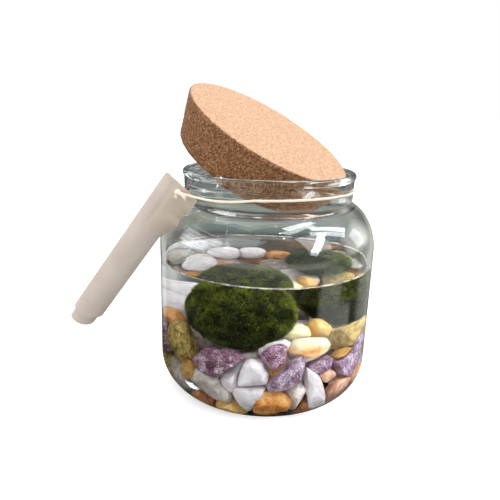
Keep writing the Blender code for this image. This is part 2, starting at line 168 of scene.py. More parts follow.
class Wire:
    """One output of a node, on which arithmetic adds Math nodes."""

    def __init__(self, paint, socket):
        self.paint = paint
        self.socket = socket

    def math(self, operation, *values):
        return self.paint.node("Math", {"operation": operation}, dict(enumerate(values)))

    def __add__(self, other):
        return self.math("ADD", self, other)

    def __radd__(self, other):
        return self.math("ADD", other, self)

    def __sub__(self, other):
        return self.math("SUBTRACT", self, other)

    def __rsub__(self, other):
        return self.math("SUBTRACT", other, self)

    def __mul__(self, other):
        return self.math("MULTIPLY", self, other)

    def __rmul__(self, other):
        return self.math("MULTIPLY", other, self)

    def between(self, low, high):
        """Rises smoothly from 0 at low to 1 at high."""
        inputs = {"Value": self, "From Min": low, "From Max": high}
        return self.paint.node("MapRange", {"interpolation_type": "SMOOTHSTEP"}, inputs)


print("a wire adds, subtracts and multiplies")
# %% [markdown]
# A paint is a material, or the world, that is built up node by node. Its patterns are laid out in
# millimetres on the piece itself, so that they keep their size and stay where they are when the piece is
# seen from another side.
# %% Paints


class Paint:
    """A material, or the world, whose nodes are added one by one."""

    def __init__(self, name, tree=None):
        self.material = None
        self.tree = tree
        if tree is None:
            self.material = bpy.data.materials.new(name)
            self.material.use_nodes = True
            self.tree = self.material.node_tree
            self.shader = self.tree.nodes["Principled BSDF"]

    def fill(self, socket, value):
        """Link a wire to a socket, or set the socket's own value."""
        if isinstance(value, Wire):
            self.tree.links.new(value.socket, socket)
        elif socket.type == "RGBA":
            socket.default_value = (*value, 1.0)
        else:
            socket.default_value = value

    def node(self, kind, settings=None, inputs=None, output=0):
        """Add a node of a kind, with its settings first and then its sockets, and give one output."""
        made = self.tree.nodes.new("ShaderNode" + kind)
        for name, value in (settings or {}).items():
            if name == "stops":
                ramp = made.color_ramp.elements
                for _ in range(len(value) - 2):
                    ramp.new(0.5)
                for stop, (position, colour) in zip(ramp, value):
                    stop.position = position
                    stop.color = (*colour, 1.0)
            else:
                setattr(made, name, value)
        for name, value in (inputs or {}).items():
            self.fill(made.inputs[name], value)
        return Wire(self, made.outputs[output])

    def spot(self, stretch=(1, 1, 1), turn=(0, 0, 0)):
        """Place on the piece in millimetres, with patterns drawn out along turned axes."""
        own = self.node("TexCoord", output="Object")
        inputs = {"Vector": own, "Rotation": turn, "Scale": [s * MM for s in stretch]}
        return self.node("Mapping", {"vector_type": "TEXTURE"}, inputs)

    def clouds(self, spot, size, detail=3.0, rough=0.5, warp=0.0):
        """Noise from 0 to 1 with patches about this size."""
        inputs = {"Vector": spot, "Scale": 1 / size, "Detail": detail, "Roughness": rough, "Distortion": warp}
        return self.node("TexNoise", None, inputs)

    def cells(self, spot, size, output=0, feature="F1"):
        """Cells about this size: output 0 is the distance to the middle, 1 a colour for each."""
        return self.node("TexVoronoi", {"feature": feature}, {"Vector": spot, "Scale": 1 / size}, output)

    def mix(self, share, first, second):
        """Blend two colours."""
        return self.node("Mix", {"data_type": "RGBA"}, {0: share, 6: first, 7: second}, 2)

    def ramp(self, value, *stops):
        return self.node("ValToRGB", {"stops": stops}, {0: value})

    def bump(self, height, depth, under=None):
        """Relief from a height of 0 to 1 that stands this many millimetres deep."""
        inputs = {"Height": height, "Distance": depth * MM}
        if under:
            inputs["Normal"] = under
        return self.node("Bump", None, inputs)

    def finish(self, **sockets):
        """Fill the shader's sockets, named as in the panel with _ for a space."""
        for name, value in sockets.items():
            self.fill(self.shader.inputs[name.replace("_", " ")], value)
        return self.material


print("a paint mixes, ramps and bumps")
# %% [markdown]
# ## The floor
# The object is shown on a plain white floor. The floor glows a little more the farther it lies from the
# jar, so that it fades into the white behind it, and near the jar it still shows the soft shadow that the
# jar stands in. Glass would carry the floor's white up through the stones, so rays that the glass bends
# don't see it.
# %% Floor
bpy.ops.object.select_all(action="DESELECT")
bpy.ops.mesh.primitive_plane_add(size=12.0, location=(0, 0, -0.0001))
floor = bpy.context.object
floor.name = "floor"
edit_all(floor)
bpy.ops.mesh.subdivide(number_cuts=3)
bpy.ops.object.mode_set(mode="OBJECT")
floor_paint = Paint("floor_white")
floor_tone = floor_paint.clouds(floor_paint.spot(), 90.0)
floor_colour = floor_paint.mix(floor_tone, (0.93, 0.93, 0.93), (0.95, 0.95, 0.95))
floor_spot = floor_paint.node("TexCoord", output="Object")
far = floor_paint.node("VectorMath", {"operation": "LENGTH"}, {0: floor_spot}, 1).between(0.15, 0.6)
glow = floor_paint.mix(far, (0.34, 0.34, 0.34), (1.0, 1.0, 1.0))
floor.data.materials.append(
    floor_paint.finish(Base_Color=floor_colour, Roughness=0.7, Emission_Color=glow, Emission_Strength=1.0)
)
floor.visible_transmission = False
floor.visible_glossy = False
floor.visible_diffuse = False
print("floor faces:", len(floor.data.polygons))
# %% [markdown]
# Under a jar of stones there is next to no light. The eye can't see below the jar, but rays that the glass
# bends can, and a thin dark disc gives them that shade.
# %% Shade under the jar
bpy.ops.mesh.primitive_cylinder_add(vertices=96, radius=0.049, depth=0.0006, location=(0, 0, -0.0006))
shade = bpy.context.object
shade.name = "shade_under_the_jar"
edit_all(shade)
bpy.ops.mesh.bevel(offset=0.0002, segments=2)
bpy.ops.object.mode_set(mode="OBJECT")
shade_paint = Paint("contact_shade")
patches = shade_paint.clouds(shade_paint.spot(), 20.0)
shade_tone = shade_paint.mix(patches, (0.02, 0.022, 0.022), (0.05, 0.05, 0.05))
shade.data.materials.append(shade_paint.finish(Base_Color=shade_tone, Roughness=0.9))
shade.visible_camera = False
shade.visible_diffuse = False
shade.visible_shadow = False
print("shade faces:", len(shade.data.polygons))
# %% [markdown]
# ## The room that the glass sees
# Clear glass shows whatever stands round it, so the surroundings matter as much as the glass. The world's
# light is painted by direction: how far it points to the side, away from the camera, and up. Level bands of
# noise stand for the furniture and sills of a real room.
# %% Directions
world = bpy.data.worlds.new("surroundings")
bpy.context.scene.world = world
world.use_nodes = True
sky = Paint("sky", world.node_tree)
direction = sky.node("TexCoord", output="Generated")
sideways = sky.node("SeparateXYZ", None, {0: direction}, 0)
away = sky.node("SeparateXYZ", None, {0: direction}, 1)
height = sky.node("SeparateXYZ", None, {0: direction}, 2)
bands = sky.clouds(sky.node("Mapping", None, {"Vector": direction, "Scale": (1.3, 1.3, 22.0)}), 0.8, 3.0)
print("the room is painted by direction")
# %% [markdown]
# The room's wall goes from almost black far below, through teal greys at the height of the jar, to a pale
# ceiling. The upright glass shows directions near the middle of this ramp, and the round shoulder the rest.
# %% Wall
wall = sky.ramp(
    height * 0.5 + 0.5 + (bands - 0.5) * 0.05,
    (0.30, (0.015, 0.016, 0.016)),
    (0.36, (0.06, 0.070, 0.066)),
    (0.385, (0.11, 0.155, 0.14)),
    (0.415, (0.18, 0.22, 0.20)),
    (0.45, (0.30, 0.31, 0.28)),
    (0.53, (0.27, 0.30, 0.28)),
    (0.58, (0.17, 0.185, 0.18)),
    (0.64, (0.15, 0.155, 0.16)),
    (0.70, (0.46, 0.47, 0.46)),
    (1.00, (0.60, 0.61, 0.62)),
)
wall = sky.mix(bands.between(0.50, 0.75) * 0.55, wall, (0.26, 0.32, 0.30))
print("the wall has its colours")
# %% [markdown]
# Then come the places that stand out in the picture's reflections: pale walls at the back on both sides,
# which show through the water, a dark shelf behind, light from the front and the right, streaks on the left
# of the neck, a glint at the lower left corner, and the haze that a pale panel lays over the smaller moss
# ball.
# %% Pale and dark places
back_right = sideways.between(0.30, 0.52) * away.between(0.30, 0.50)
back_left = sideways.between(-0.40, -0.55) * away.between(0.58, 0.68)
level_with_water = height.between(0.12, -0.05) * height.between(-0.43, -0.39)
room = sky.mix((back_right + back_left) * level_with_water * 0.9, wall, (0.68, 0.655, 0.635))
aside = sideways.math("ABSOLUTE", sideways)
pale_back = aside.between(0.16, 0.40) * away.between(-0.2, 0.2) * height.between(-0.22, -0.16)
room = sky.mix(pale_back * height.between(0.10, 0.0) * 0.6, room, (0.60, 0.555, 0.48))
shelf = away.between(0.93, 0.955) * height.between(-0.185, -0.205) * height.between(-0.275, -0.255)
room = sky.mix(shelf, room, (0.075, 0.066, 0.078))
low_front = away.between(-0.1, -0.5) * height.between(-0.25, -0.20) * height.between(0.05, -0.04)
room = sky.mix(low_front, room, (1.15, 1.08, 0.98))
pale_right = sideways.between(0.60, 0.86) * away.between(-0.10, 0.12) * height.between(-0.08, 0.06)
room = sky.mix(pale_right * height.between(0.52, 0.40), room, (2.6, 2.52, 2.4))
streaks = sideways.between(-0.42, -0.62) * bands.between(0.47, 0.56) * height.between(0.02, 0.12)
room = sky.mix(streaks * height.between(0.66, 0.52), room, (2.6, 2.6, 2.7))
glint = sideways.between(-0.66, -0.70) * away.between(-0.10, -0.04) * away.between(0.16, 0.12)
room = sky.mix(glint * height.between(-0.60, -0.63) * height.between(-0.78, -0.72), room, (9.0, 10.5, 11.0))
panel = sideways.between(0.70, 0.78) * away.between(-0.52, -0.42) * away.between(-0.02, -0.10)
panel_foot = sideways.between(0.70, 0.78) * away.between(-0.10, -0.02) * away.between(0.24, 0.16)
hazy = panel * height.between(-0.22, -0.26) + panel_foot * height.between(-0.355, -0.38)
room = sky.mix(hazy * height.between(-0.45, -0.41), room, (0.98, 0.98, 0.90))
print("the pale and dark places are in")
# %% [markdown]
# The eye's own rays see plain white. Rays that glass or water has bent or mirrored see the room, and rays
# that carry soft light to a surface see an even glow, so the painted room doesn't tint the pieces.
# %% What each ray sees
ambient = sky.ramp(
    height * 0.5 + 0.5, (0.0, (0.46, 0.45, 0.44)), (0.5, (0.46, 0.46, 0.46)), (1.0, (0.56, 0.56, 0.57))
)
facing_us = (away * 0.9 + sideways * 0.45).between(0.15, -0.9)
ambient = sky.mix(facing_us * 0.85, ambient, (1.08, 1.05, 1.04))
eye_ray = sky.node("LightPath", output="Is Camera Ray")
soft_ray = sky.node("LightPath", output="Diffuse Depth").between(0.2, 0.8)
seen = sky.mix(eye_ray, sky.mix(soft_ray, room, ambient), (1.0, 1.0, 1.0))
sky.fill(world.node_tree.nodes["Background"].inputs["Color"], seen)
print("world nodes:", len(world.node_tree.nodes))
# %% [markdown]
# ## Lamps
# Soft lamps give the forms their light and shade. A mirror image of a lamp is part of the picture too:
# three long panes seen in the glass alone make the window's zigzag on the shoulder, and five tiny spots
# make the sparks that show along the middle of the jar and on its left.
# %% Lamps
JAR_MIDDLE = Vector((0.0, 0.0, 0.07))
SHOULDER_MIDDLE = 0.09
WINDOW_TINT = (0.93, 0.95, 1.0)


def bearing(azimuth, elevation, distance):
    """A place in metres, seen from the jar's shoulder."""
    a, e = math.radians(azimuth), math.radians(elevation)
    flat = distance * math.cos(e)
    return (flat * math.cos(a), flat * math.sin(a), SHOULDER_MIDDLE + distance * math.sin(e))


def add_lamp(name, place, wide, tall, power, tint=(1, 1, 1), lean=None):
    """A soft rectangular light that shines at the jar. One with a lean is seen in the glass alone."""
    data = bpy.data.lights.new(name, "AREA")
    data.shape = "RECTANGLE"
    data.size = wide
    data.size_y = tall
    data.energy = power
    data.color = tint
    lamp = bpy.data.objects.new(name, data)
    lamp.location = place
    facing = (JAR_MIDDLE - Vector(place)).to_track_quat("-Z", "Y").to_matrix()
    lamp.rotation_euler = (facing @ Matrix.Rotation(math.radians(lean or 0.0), 3, "Z")).to_euler()
    lamp.visible_camera = False
    lamp.visible_diffuse = lean is None
    bpy.context.scene.collection.objects.link(lamp)
    return lamp


add_lamp("overhead", (-0.10, 0.12, 0.75), 0.55, 0.45, 1.5)
add_lamp("behind_and_above", bearing(90, 46, 0.9), 0.9, 0.22, 1.9)
add_lamp("front_fill", bearing(-118, 36, 0.9), 0.5, 0.4, 0.8)
add_lamp("window_left_pane", bearing(-30, 29, 0.8), 0.12, 0.50, 3.4, WINDOW_TINT, -38)
add_lamp("window_right_pane", bearing(0, 42, 0.8), 0.12, 0.50, 3.4, WINDOW_TINT, 38)
add_lamp("window_head", bearing(-12, 68, 0.8), 0.50, 0.12, 2.8, WINDOW_TINT, -8)
window_light = add_lamp("window_light", bearing(-30, 36, 0.85), 0.40, 0.50, 3.6, (0.97, 0.98, 1.0))
side_window = add_lamp("side_window", bearing(24, 14, 0.8), 0.24, 0.30, 0.8)
window_light.visible_glossy = side_window.visible_glossy = False
add_lamp("pale_wall_left", bearing(-172, 16, 0.8), 0.5, 0.26, 1.0)
for number, (azimuth, elevation) in enumerate(((-67, 71), (-69, 56), (-68, 45), (-57, 79), (151, 56))):
    add_lamp(f"ceiling_spot_{number}", bearing(azimuth, elevation, 0.9), 0.016, 0.016, 0.25)
# %% [markdown]
# ## The glass jar
# The jar was blown into a mould: a flat foot with a wide round corner, upright walls, a shoulder that draws
# in to a short neck, and a thick rolled rim. All of it is round about one axis, so its profile is drawn
# once, outside and inside.
# %% Jar profile
JAR_RADIUS, WALL, CORNER = 55.0, 2.0, 19.0
SHOULDER_FOOT, SHOULDER_TOP, SHOULDER_POWER = 79.0, 99.4, 1.71
NECK_RADIUS, NECK_FILLET, RIM_HEIGHT = 42.5, 2.5, 115.4
BEAD_RADIUS, BEAD_HEIGHT = 1.5, 1.8
ROUND_STEPS = 240


def jar_line(inset):
    """The jar's surface from the middle of its floor to below its rim, moved into the glass by inset."""
    line = [(0.0, inset)]
    for step in range(19):
        a = math.radians(-90 + step * 5)
        reach = CORNER - inset
        line.append((JAR_RADIUS - CORNER + reach * math.cos(a), CORNER + reach * math.sin(a)))
    line += [(JAR_RADIUS - inset, CORNER + 15.0 * k) for k in (1, 2, 3)]
    neck, top = NECK_RADIUS - inset, SHOULDER_TOP - inset
    wide, tall = JAR_RADIUS - NECK_RADIUS, top - SHOULDER_FOOT
    for degrees in (0, 6, 12, 18, 24, 30, 36, 42, 48, 54, 60, 65, 70, 74, 77):
        a = math.radians(degrees)
        outward, up = math.cos(a) ** (2 / SHOULDER_POWER), math.sin(a) ** (2 / SHOULDER_POWER)
        line.append((neck + wide * outward, SHOULDER_FOOT + tall * up))
    start, turn, end = Vector(line[-1]), Vector((neck, top)), Vector((neck, top + NECK_FILLET))
    for t in (0.2, 0.4, 0.6, 0.8, 1.0):
        line.append(tuple(start * (1 - t) ** 2 + turn * 2 * t * (1 - t) + end * t**2))
    return line


bead = []
for degrees in range(-60, 201, 13):
    a = math.radians(degrees)
    outward = NECK_RADIUS - WALL + BEAD_RADIUS * (1 + math.cos(a))
    bead.append((outward, RIM_HEIGHT - BEAD_HEIGHT + BEAD_HEIGHT * math.sin(a)))
print("profile points:", 2 * len(jar_line(0)) + len(bead))
# %% [markdown]
# A profile is turned as on a lathe. It starts as a single point, made by merging a tiny circle, is extruded
# from point to point, and is spun about the upright axis. Points that meet on the axis or at the seam are
# merged.
# %% The lathe


def turn_profile(name, line, steps):
    """Turn a line of (radius, height) points about the upright axis, as on a lathe."""
    bpy.ops.object.select_all(action="DESELECT")
    bpy.ops.mesh.primitive_circle_add(vertices=3, radius=MM)
    made = bpy.context.object
    made.name = name
    edit_all(made)
    bpy.ops.mesh.merge(type="CENTER")
    bpy.ops.transform.translate(value=(line[0][0] * MM, 0, line[0][1] * MM))
    for (r0, z0), (r1, z1) in zip(line, line[1:]):
        bpy.ops.mesh.extrude_vertices_move(
            TRANSFORM_OT_translate={"value": ((r1 - r0) * MM, 0, (z1 - z0) * MM)}
        )
    bpy.ops.mesh.select_all(action="SELECT")
    bpy.ops.mesh.spin(steps=steps, angle=math.tau, center=(0, 0, 0), axis=(0, 0, 1), use_auto_merge=True)
    bpy.ops.mesh.select_all(action="SELECT")
    bpy.ops.mesh.remove_doubles(threshold=2e-6)
    bpy.ops.mesh.normals_make_consistent(inside=False)
    bpy.ops.object.mode_set(mode="OBJECT")
    return made


print("profiles are turned in", ROUND_STEPS, "steps")
# %% [markdown]
# Blown glass is never quite even, and that is what smears the reflections, so the walls get waves of a few
# hundredths of a millimetre, drawn out along the height.
# %% Jar
WAVE = 0.05
jar = turn_profile("jar", jar_line(0.0) + bead + jar_line(WALL)[::-1], ROUND_STEPS)
spots = points_of(jar)
radius = np.hypot(spots[:, 0], spots[:, 1])
body = np.clip((spots[:, 2] - 8) / 20, 0, 1) * np.clip((108 - spots[:, 2]) / 8, 0, 1) * (radius > 30)
flatter = spots * (0.55, 0.55, 2.2)
inner_side = (radius < JAR_RADIUS - 1) & (spots[:, 2] < SHOULDER_FOOT)
ripple = WAVE * body * np.where(inner_side, waves(flatter, 17.0, 5.0), waves(flatter, 17.0))
spots[:, :2] *= (1 + ripple / np.maximum(radius, 1))[:, None]
move_points(jar, spots)
pick(jar)
bpy.ops.object.shade_smooth()
print("jar faces:", len(jar.data.polygons))
# %% [markdown]
# Clear glass is plain transmission with the index of real glass. Its faint green blue comes from what the
# light passes through on its way. Every piece is then dressed in the same way: it gets its material, rides
# on the one body, and stands for its solid in the frame.
# %% Glass finish


def dress(piece, material, node):
    """Give a piece its material, and let it stand for a solid."""
    piece.data.materials.clear()
    piece.data.materials.append(material)
    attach(piece, "root")
    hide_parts(node)


glass_paint = Paint("clear_glass")
glass = glass_paint.finish(
    Base_Color=(0.90, 0.945, 0.935), Roughness=0.0, IOR=1.5, Transmission_Weight=1.0
)
dress(jar, glass, "glass_jar")
jar.visible_shadow = False
print("the jar wears", glass.name)
# %% [markdown]
# ## The water
# The water fills the jar to just under the top of its straight wall, and creeps up the glass by a
# millimetre all round. Where water touches glass there is no air between them, so its body is spun a little
# into the glass wall, with as many steps as the jar. Then the light bends as it does in the real jar.
# %% Water body
WATER_LEVEL, WETTING, CREEP = 69.8, 0.4, 1.6
water_line = [(0.0, WALL - WETTING)]
for step in range(19):
    a = math.radians(-90 + step * 5)
    reach = CORNER - WALL + WETTING
    water_line.append((JAR_RADIUS - CORNER + reach * math.cos(a), CORNER + reach * math.sin(a)))
side = JAR_RADIUS - WALL + WETTING
for back in (0.0, 0.4, 0.6, 0.85, 1.15, 1.5, 1.9, 2.4, 3.2, 4.5, 7.0):
    water_line.append((side - back, WATER_LEVEL + CREEP * math.exp(-max(back - WETTING, 0.0) / 0.9)))
water_line += [(30.0, WATER_LEVEL), (0.0, WATER_LEVEL)]
water = turn_profile("water_body", water_line, ROUND_STEPS)
pick(water)
bpy.ops.object.shade_smooth_by_angle(angle=math.radians(50))
print("water faces:", len(water.data.polygons))
# %% [markdown]
# Along its upper edge the water shows a thin broken bright line, where the meniscus bends the light. It is a
# painted highlight: a pale diffuse layer, laid over the clear water by a Mix Shader wherever the water has
# crept up the glass. Pale colours are easier to judge as they are read off a screen, so ink turns such
# numbers into light.
# %% Water finish


def ink(red, green, blue):
    """A colour as it is read off a screen, turned into the light it stands for."""
    parts = (red / 255, green / 255, blue / 255)
    return tuple(c / 12.92 if c <= 0.04045 else ((c + 0.055) / 1.055) ** 2.4 for c in parts)


water_paint = Paint("still_water")
clear_water = water_paint.finish(
    Base_Color=(0.955, 0.975, 0.965), Roughness=0.0, IOR=1.333, Transmission_Weight=1.0
)
water_spot = water_paint.spot()
water_height = water_paint.node("SeparateXYZ", None, {0: water_spot}, 2)
broken = water_paint.clouds(water_spot, 6.0, 4.0).between(0.40, 0.62)
# painted highlight: a pale broken line where the water creeps up the glass
painted_waterline_highlight = water_height.between(WATER_LEVEL + 0.80, WATER_LEVEL + 1.05) * (broken * 0.45 + 0.08)
highlight_tone = water_paint.mix(water_paint.clouds(water_spot, 3.0), ink(236, 226, 200), ink(252, 248, 236))
painted_highlight_layer = water_paint.node("BsdfPrincipled", None, {"Base Color": highlight_tone, "Roughness": 0.6})
clear = Wire(water_paint, water_paint.shader.outputs[0])
edge = water_paint.node("MixShader", None, {0: painted_waterline_highlight, 1: clear, 2: painted_highlight_layer})
water_paint.fill(water_paint.tree.nodes["Material Output"].inputs["Surface"], edge)
dress(water, clear_water, "water")
water.visible_shadow = False
print("the water wears", clear_water.name)
# %% [markdown]
# ## Plain pebble finishes
# The bed is a mix of bought pebbles: tumbled white and grey quartz, and cream, orange, khaki, olive and
# brown stones. Each kind gets one finish, made of clouds of three near colours with a few dark specks, and
# a fine relief. Stones that lie in water have little gloss left, because water and stone bend light almost
# alike.
# %% Plain pebble finishes
WET = 0.12  # gloss that is left where a piece lies in water


def pebble_paint(name, light, middle, dark, patch=5.0, relief=0.10, rough=0.42, speck=0.25):
    """Clouds of three colours with a few dark specks, and a fine relief."""
    paint = Paint(name)
    spot = paint.spot()
    broad = paint.clouds(spot, patch, 4.0, 0.6, 0.6)
    fine = paint.clouds(spot, patch / 5, 3.0, 0.65)
    blend = (broad * 0.7 + fine * 0.3).between(0.32, 0.68)
    tone = paint.ramp(blend, (0.0, dark), (0.5, middle), (1.0, light))
    specks = paint.clouds(spot, 0.7, 2.0).between(0.66, 0.74) * speck
    colour = paint.mix(specks, tone, tuple(0.45 * c for c in dark))
    bump = paint.bump(fine * 0.6 + paint.clouds(spot, 0.35) * 0.4, relief)
    return paint.finish(
        Base_Color=colour, Roughness=rough + broad * 0.12, Normal=bump, Specular_IOR_Level=WET
    )


# For each kind its light, middle and dark colour, then the size of patches, the relief, roughness and specks
PLAIN_STONES = {
    "white": ((246, 238, 241), (238, 226, 231), (218, 198, 202), 8.0, 0.05, 0.3, 0.0),
    "grey": ((230, 214, 208), (202, 186, 180), (168, 150, 144), 6.0, 0.08, 0.35, 0.1),
    "beige": ((252, 240, 236), (238, 220, 214), (208, 184, 176), 6.0),
    "peach": ((246, 212, 186), (234, 178, 152), (212, 138, 110), 3.5),
    "apricot": ((255, 224, 160), (253, 202, 126), (240, 174, 94), 7.0, 0.06),
    "orange": ((236, 184, 124), (214, 138, 66), (176, 98, 48), 5.0, 0.14, 0.42, 0.15),
    "amber": ((212, 170, 112), (186, 136, 76), (146, 98, 50), 4.0),
    "brown": ((214, 158, 110), (184, 122, 78), (132, 82, 52), 4.0),
    "mauve": ((206, 188, 180), (168, 150, 142), (128, 108, 100), 5.0),
    "olive": ((206, 178, 112), (160, 132, 70), (96, 74, 38), 3.0, 0.2, 0.45, 0.8),
    "khaki": ((236, 208, 150), (208, 174, 110), (156, 122, 68), 3.2, 0.2, 0.45, 0.5),
}
stone_finishes = {}
for kind, (light, middle, dark, *rest) in PLAIN_STONES.items():
    stone_finishes[kind] = pebble_paint(kind + "_stone", ink(*light), ink(*middle), ink(*dark), *rest)
print("plain finishes:", len(stone_finishes))
# %% [markdown]
# The purple stones are lepidolite, a mica in thin scales. Pink-white streaks run across a dark mauve ground,
# and their palest tones are partly painted sheen. Single scales flash where they face the light; here cells
# of random brightness lower the roughness and paint a glint into the colour.
# %% Mica finishes


def mica_paint(name, light, middle, dark, turn):
    """Streaks and glinting scales on a dark ground, with painted sheen and painted glints."""
    paint = Paint(name)
    streaked = paint.spot((5.0, 1.0, 1.0), turn)
    veins = paint.clouds(streaked, 0.55, 5.0, 0.75, 0.8)
    ground = paint.clouds(paint.spot(), 5.0, 3.0, 0.6)
    streaks_and_painted_sheen = (veins * 0.66 + ground * 0.34).between(0.40, 0.63)
    # The streaks are partly the stone's own pale veins and partly painted sheen at the pale end of this ramp.
    tone = paint.ramp(streaks_and_painted_sheen, (0.0, dark), (0.45, middle), (0.85, light), (1.0, ink(250, 236, 246)))
    scale = paint.node("SeparateColor", None, {0: paint.cells(paint.spot((2.4, 1.0, 1.0), turn), 0.65, 1)})
    # painted glint: random scales are turned pale pink-white in the colour
    glint = scale.between(0.80, 0.97) * ground.between(0.45, 0.60)
    colour = paint.mix(glint * 0.85, tone, (0.98, 0.86, 0.94))
    bump = paint.bump(veins * 0.5 + scale * 0.5, 0.40)
    return paint.finish(Base_Color=colour, Roughness=0.38 - glint * 0.22, Normal=bump, Specular_IOR_Level=0.4)


# For each kind its light, middle and dark colour, and the way its scales lie
MICAS = {
    "purple": ((206, 164, 186), (128, 80, 100), (66, 28, 42), (0.3, 0.5, 0.6)),
    "rosy": ((232, 192, 214), (158, 104, 130), (80, 36, 56), (0.9, 0.2, 1.1)),
    "silvery": ((230, 206, 222), (174, 138, 164), (92, 58, 80), (0.2, 0.7, 0.9)),
    "lilac": ((238, 212, 232), (196, 160, 188), (124, 92, 120), (0.2, 1.2, 0.4)),
}
for kind, (light, middle, dark, turn) in MICAS.items():
    stone_finishes[kind] = mica_paint(kind + "_mica", ink(*light), ink(*middle), ink(*dark), turn)
print("with the micas:", len(stone_finishes))
# %% [markdown]
# One yellow stone shows the thin layers that it was laid down in. A sine of the height, bent by noise,
# draws them.
# %% Striped finish
striped = Paint("striped_stone")
striped_spot = striped.spot()
level_bands = striped.node("SeparateXYZ", None, {0: striped_spot}, 2)
wander = striped.clouds(striped_spot, 6.0, 3.0)
layers = level_bands * 3.1 + wander * 7.0
fine_lines = layers.math("SINE", layers).between(0.55, 0.95)
cream_ground = striped.ramp(wander.between(0.3, 0.7), (0.0, ink(255, 238, 176)), (1.0, ink(255, 248, 216)))
stone_finishes["striped"] = striped.finish(
    Base_Color=striped.mix(fine_lines * 0.45, cream_ground, ink(224, 190, 122)),
    Roughness=0.4 + wander * 0.1,
    Normal=striped.bump(fine_lines, 0.08),
    Specular_IOR_Level=WET,
)
print("striped finish:", stone_finishes["striped"].name)
# %% [markdown]
# The largest cream stone has an orange heart. Its colour follows the distance from a point just under the
# side that faces the camera, squeezed to an oval and broken up by noise.
# %% Cream finish with a heart
cream = Paint("cream_stone_with_orange_heart")
low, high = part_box("pebble_cream_orange_heart")
heart_at = Vector([a * (1 - t) + b * t for a, b, t in zip(low, high, (0.52, 0.16, 0.60))]) / MM
cream_spot = cream.spot()
from_heart = cream.node("VectorMath", {"operation": "SUBTRACT"}, {0: cream_spot, 1: heart_at})
squeezed = cream.node("VectorMath", {"operation": "MULTIPLY"}, {0: from_heart, 1: (0.55, 0.8, 1.5)})
heart_reach = cream.node("VectorMath", {"operation": "LENGTH"}, {0: squeezed}, 1)
heart_edge = heart_reach + (cream.clouds(cream_spot, 4.0, 3.0) - 0.5) * 7.0
heart = cream.ramp(
    heart_edge * 0.1,
    (0.05, ink(222, 120, 72)),
    (0.20, ink(244, 170, 112)),
    (0.42, ink(250, 202, 152)),
    (0.60, ink(253, 226, 192)),
    (0.90, ink(252, 238, 220)),
)
stone_finishes["cream"] = cream.finish(
    Base_Color=heart,
    Roughness=0.4 + heart_reach * 0.005,
    Normal=cream.bump(cream.clouds(cream_spot, 1.2, 4.0), 0.12),
    Specular_IOR_Level=WET,
)
print("all stone finishes:", len(stone_finishes))
# %% [markdown]
# ## The pebbles
# Every pebble starts as a copy of its solid, so it lies where it lay when the bed was settled. Which finish
# a stone gets, and how many flats it is pressed to, depends on its kind, with a few exceptions for stones
# that are seen well.
# %% Choices for the pebbles
OTHER_FINISH = {
    "peach_top": "apricot",
    "white_wedge": "white",
    "purple_small": "rosy",
    "purple_slanting": "silvery",
    "purple_middle": "silvery",
    "purple_right": "lilac",
    "orange_right": "peach",
    "tan_low": "apricot",
}
# How many flats, how flat they are from 0 to 1, where they cut, and the size and depth of the noise
CHARACTER = {
    "purple": (15, 0.95, 0.80, 2.4, 0.28),
    "lilac": (12, 0.9, 0.84, 2.4, 0.22),
    "khaki": (8, 0.8, 0.86, 3.0, 0.22),
    "olive": (8, 0.6, 0.88, 3.0, 0.30),
    "orange": (10, 0.85, 0.84, 2.6, 0.50),
    "cream": (7, 0.6, 0.90, 4.0, 0.15),
}
SMOOTH_CHARACTER = (7, 0.6, 0.92, 5.0, 0.14)
BROKEN_ENDS = {"khaki_block": ((-0.5, -0.85, -0.1), 0.50), "orange_low": ((0.2, -0.9, 0.5), 0.75)}
print("kinds with a character of their own:", len(CHARACTER))
# %% [markdown]
# The copy is merged, rounded by subdivision and brought back to size. Tumbled stones get a few soft flats,
# and mica stones many crisp ones, because they split along their scales.
# %% Pebble shaping


def own_copy(node, name):
    """A merged copy of a solid, as a new object with its own mesh."""
    made = bpy.data.objects.new(name, bpy.data.objects[node].data.copy())
    bpy.context.scene.collection.objects.link(made)
    edit_all(made)
    bpy.ops.mesh.remove_doubles(threshold=1e-5)
    bpy.ops.object.mode_set(mode="OBJECT")
    return made


def round_off(piece, levels, swell=1.0):
    """Subdivide a piece, and bring it back to the size it had, or swell it a little."""
    before = points_of(piece)
    use_modifier(piece, "SUBSURF", subdivision_type="SIMPLE", levels=levels - 1, render_levels=levels - 1)
    use_modifier(piece, "SUBSURF", levels=1, render_levels=1)
    after = points_of(piece)
    middle = after.mean(axis=0)
    ratio = np.ptp(before, axis=0) / np.ptp(after, axis=0)
    move_points(piece, middle + (after - middle) * ratio * swell)


def flatten(places, count, share, cut, seed):
    """Press soft flats into a rounded form from random sides."""
    chance = np.random.default_rng(seed)
    middle = places.mean(axis=0)
    for _ in range(count):
        side = chance.normal(size=3)
        side /= np.linalg.norm(side)
        reach = (places - middle) @ side
        limit = reach.max() * (cut + 0.12 * chance.random())
        places = places - np.outer(np.maximum(reach - limit, 0) * share, side)
    return places


def cut_end(places, side, share):
    """Break off one end of a stone flat, square to a direction, leaving this share of its reach."""
    side = np.array(side) / np.linalg.norm(side)
    reach = (places - places.mean(axis=0)) @ side
    return places - np.outer(np.maximum(reach - reach.max() * share, 0), side)


print("a pebble is copied, rounded, flattened and cut")
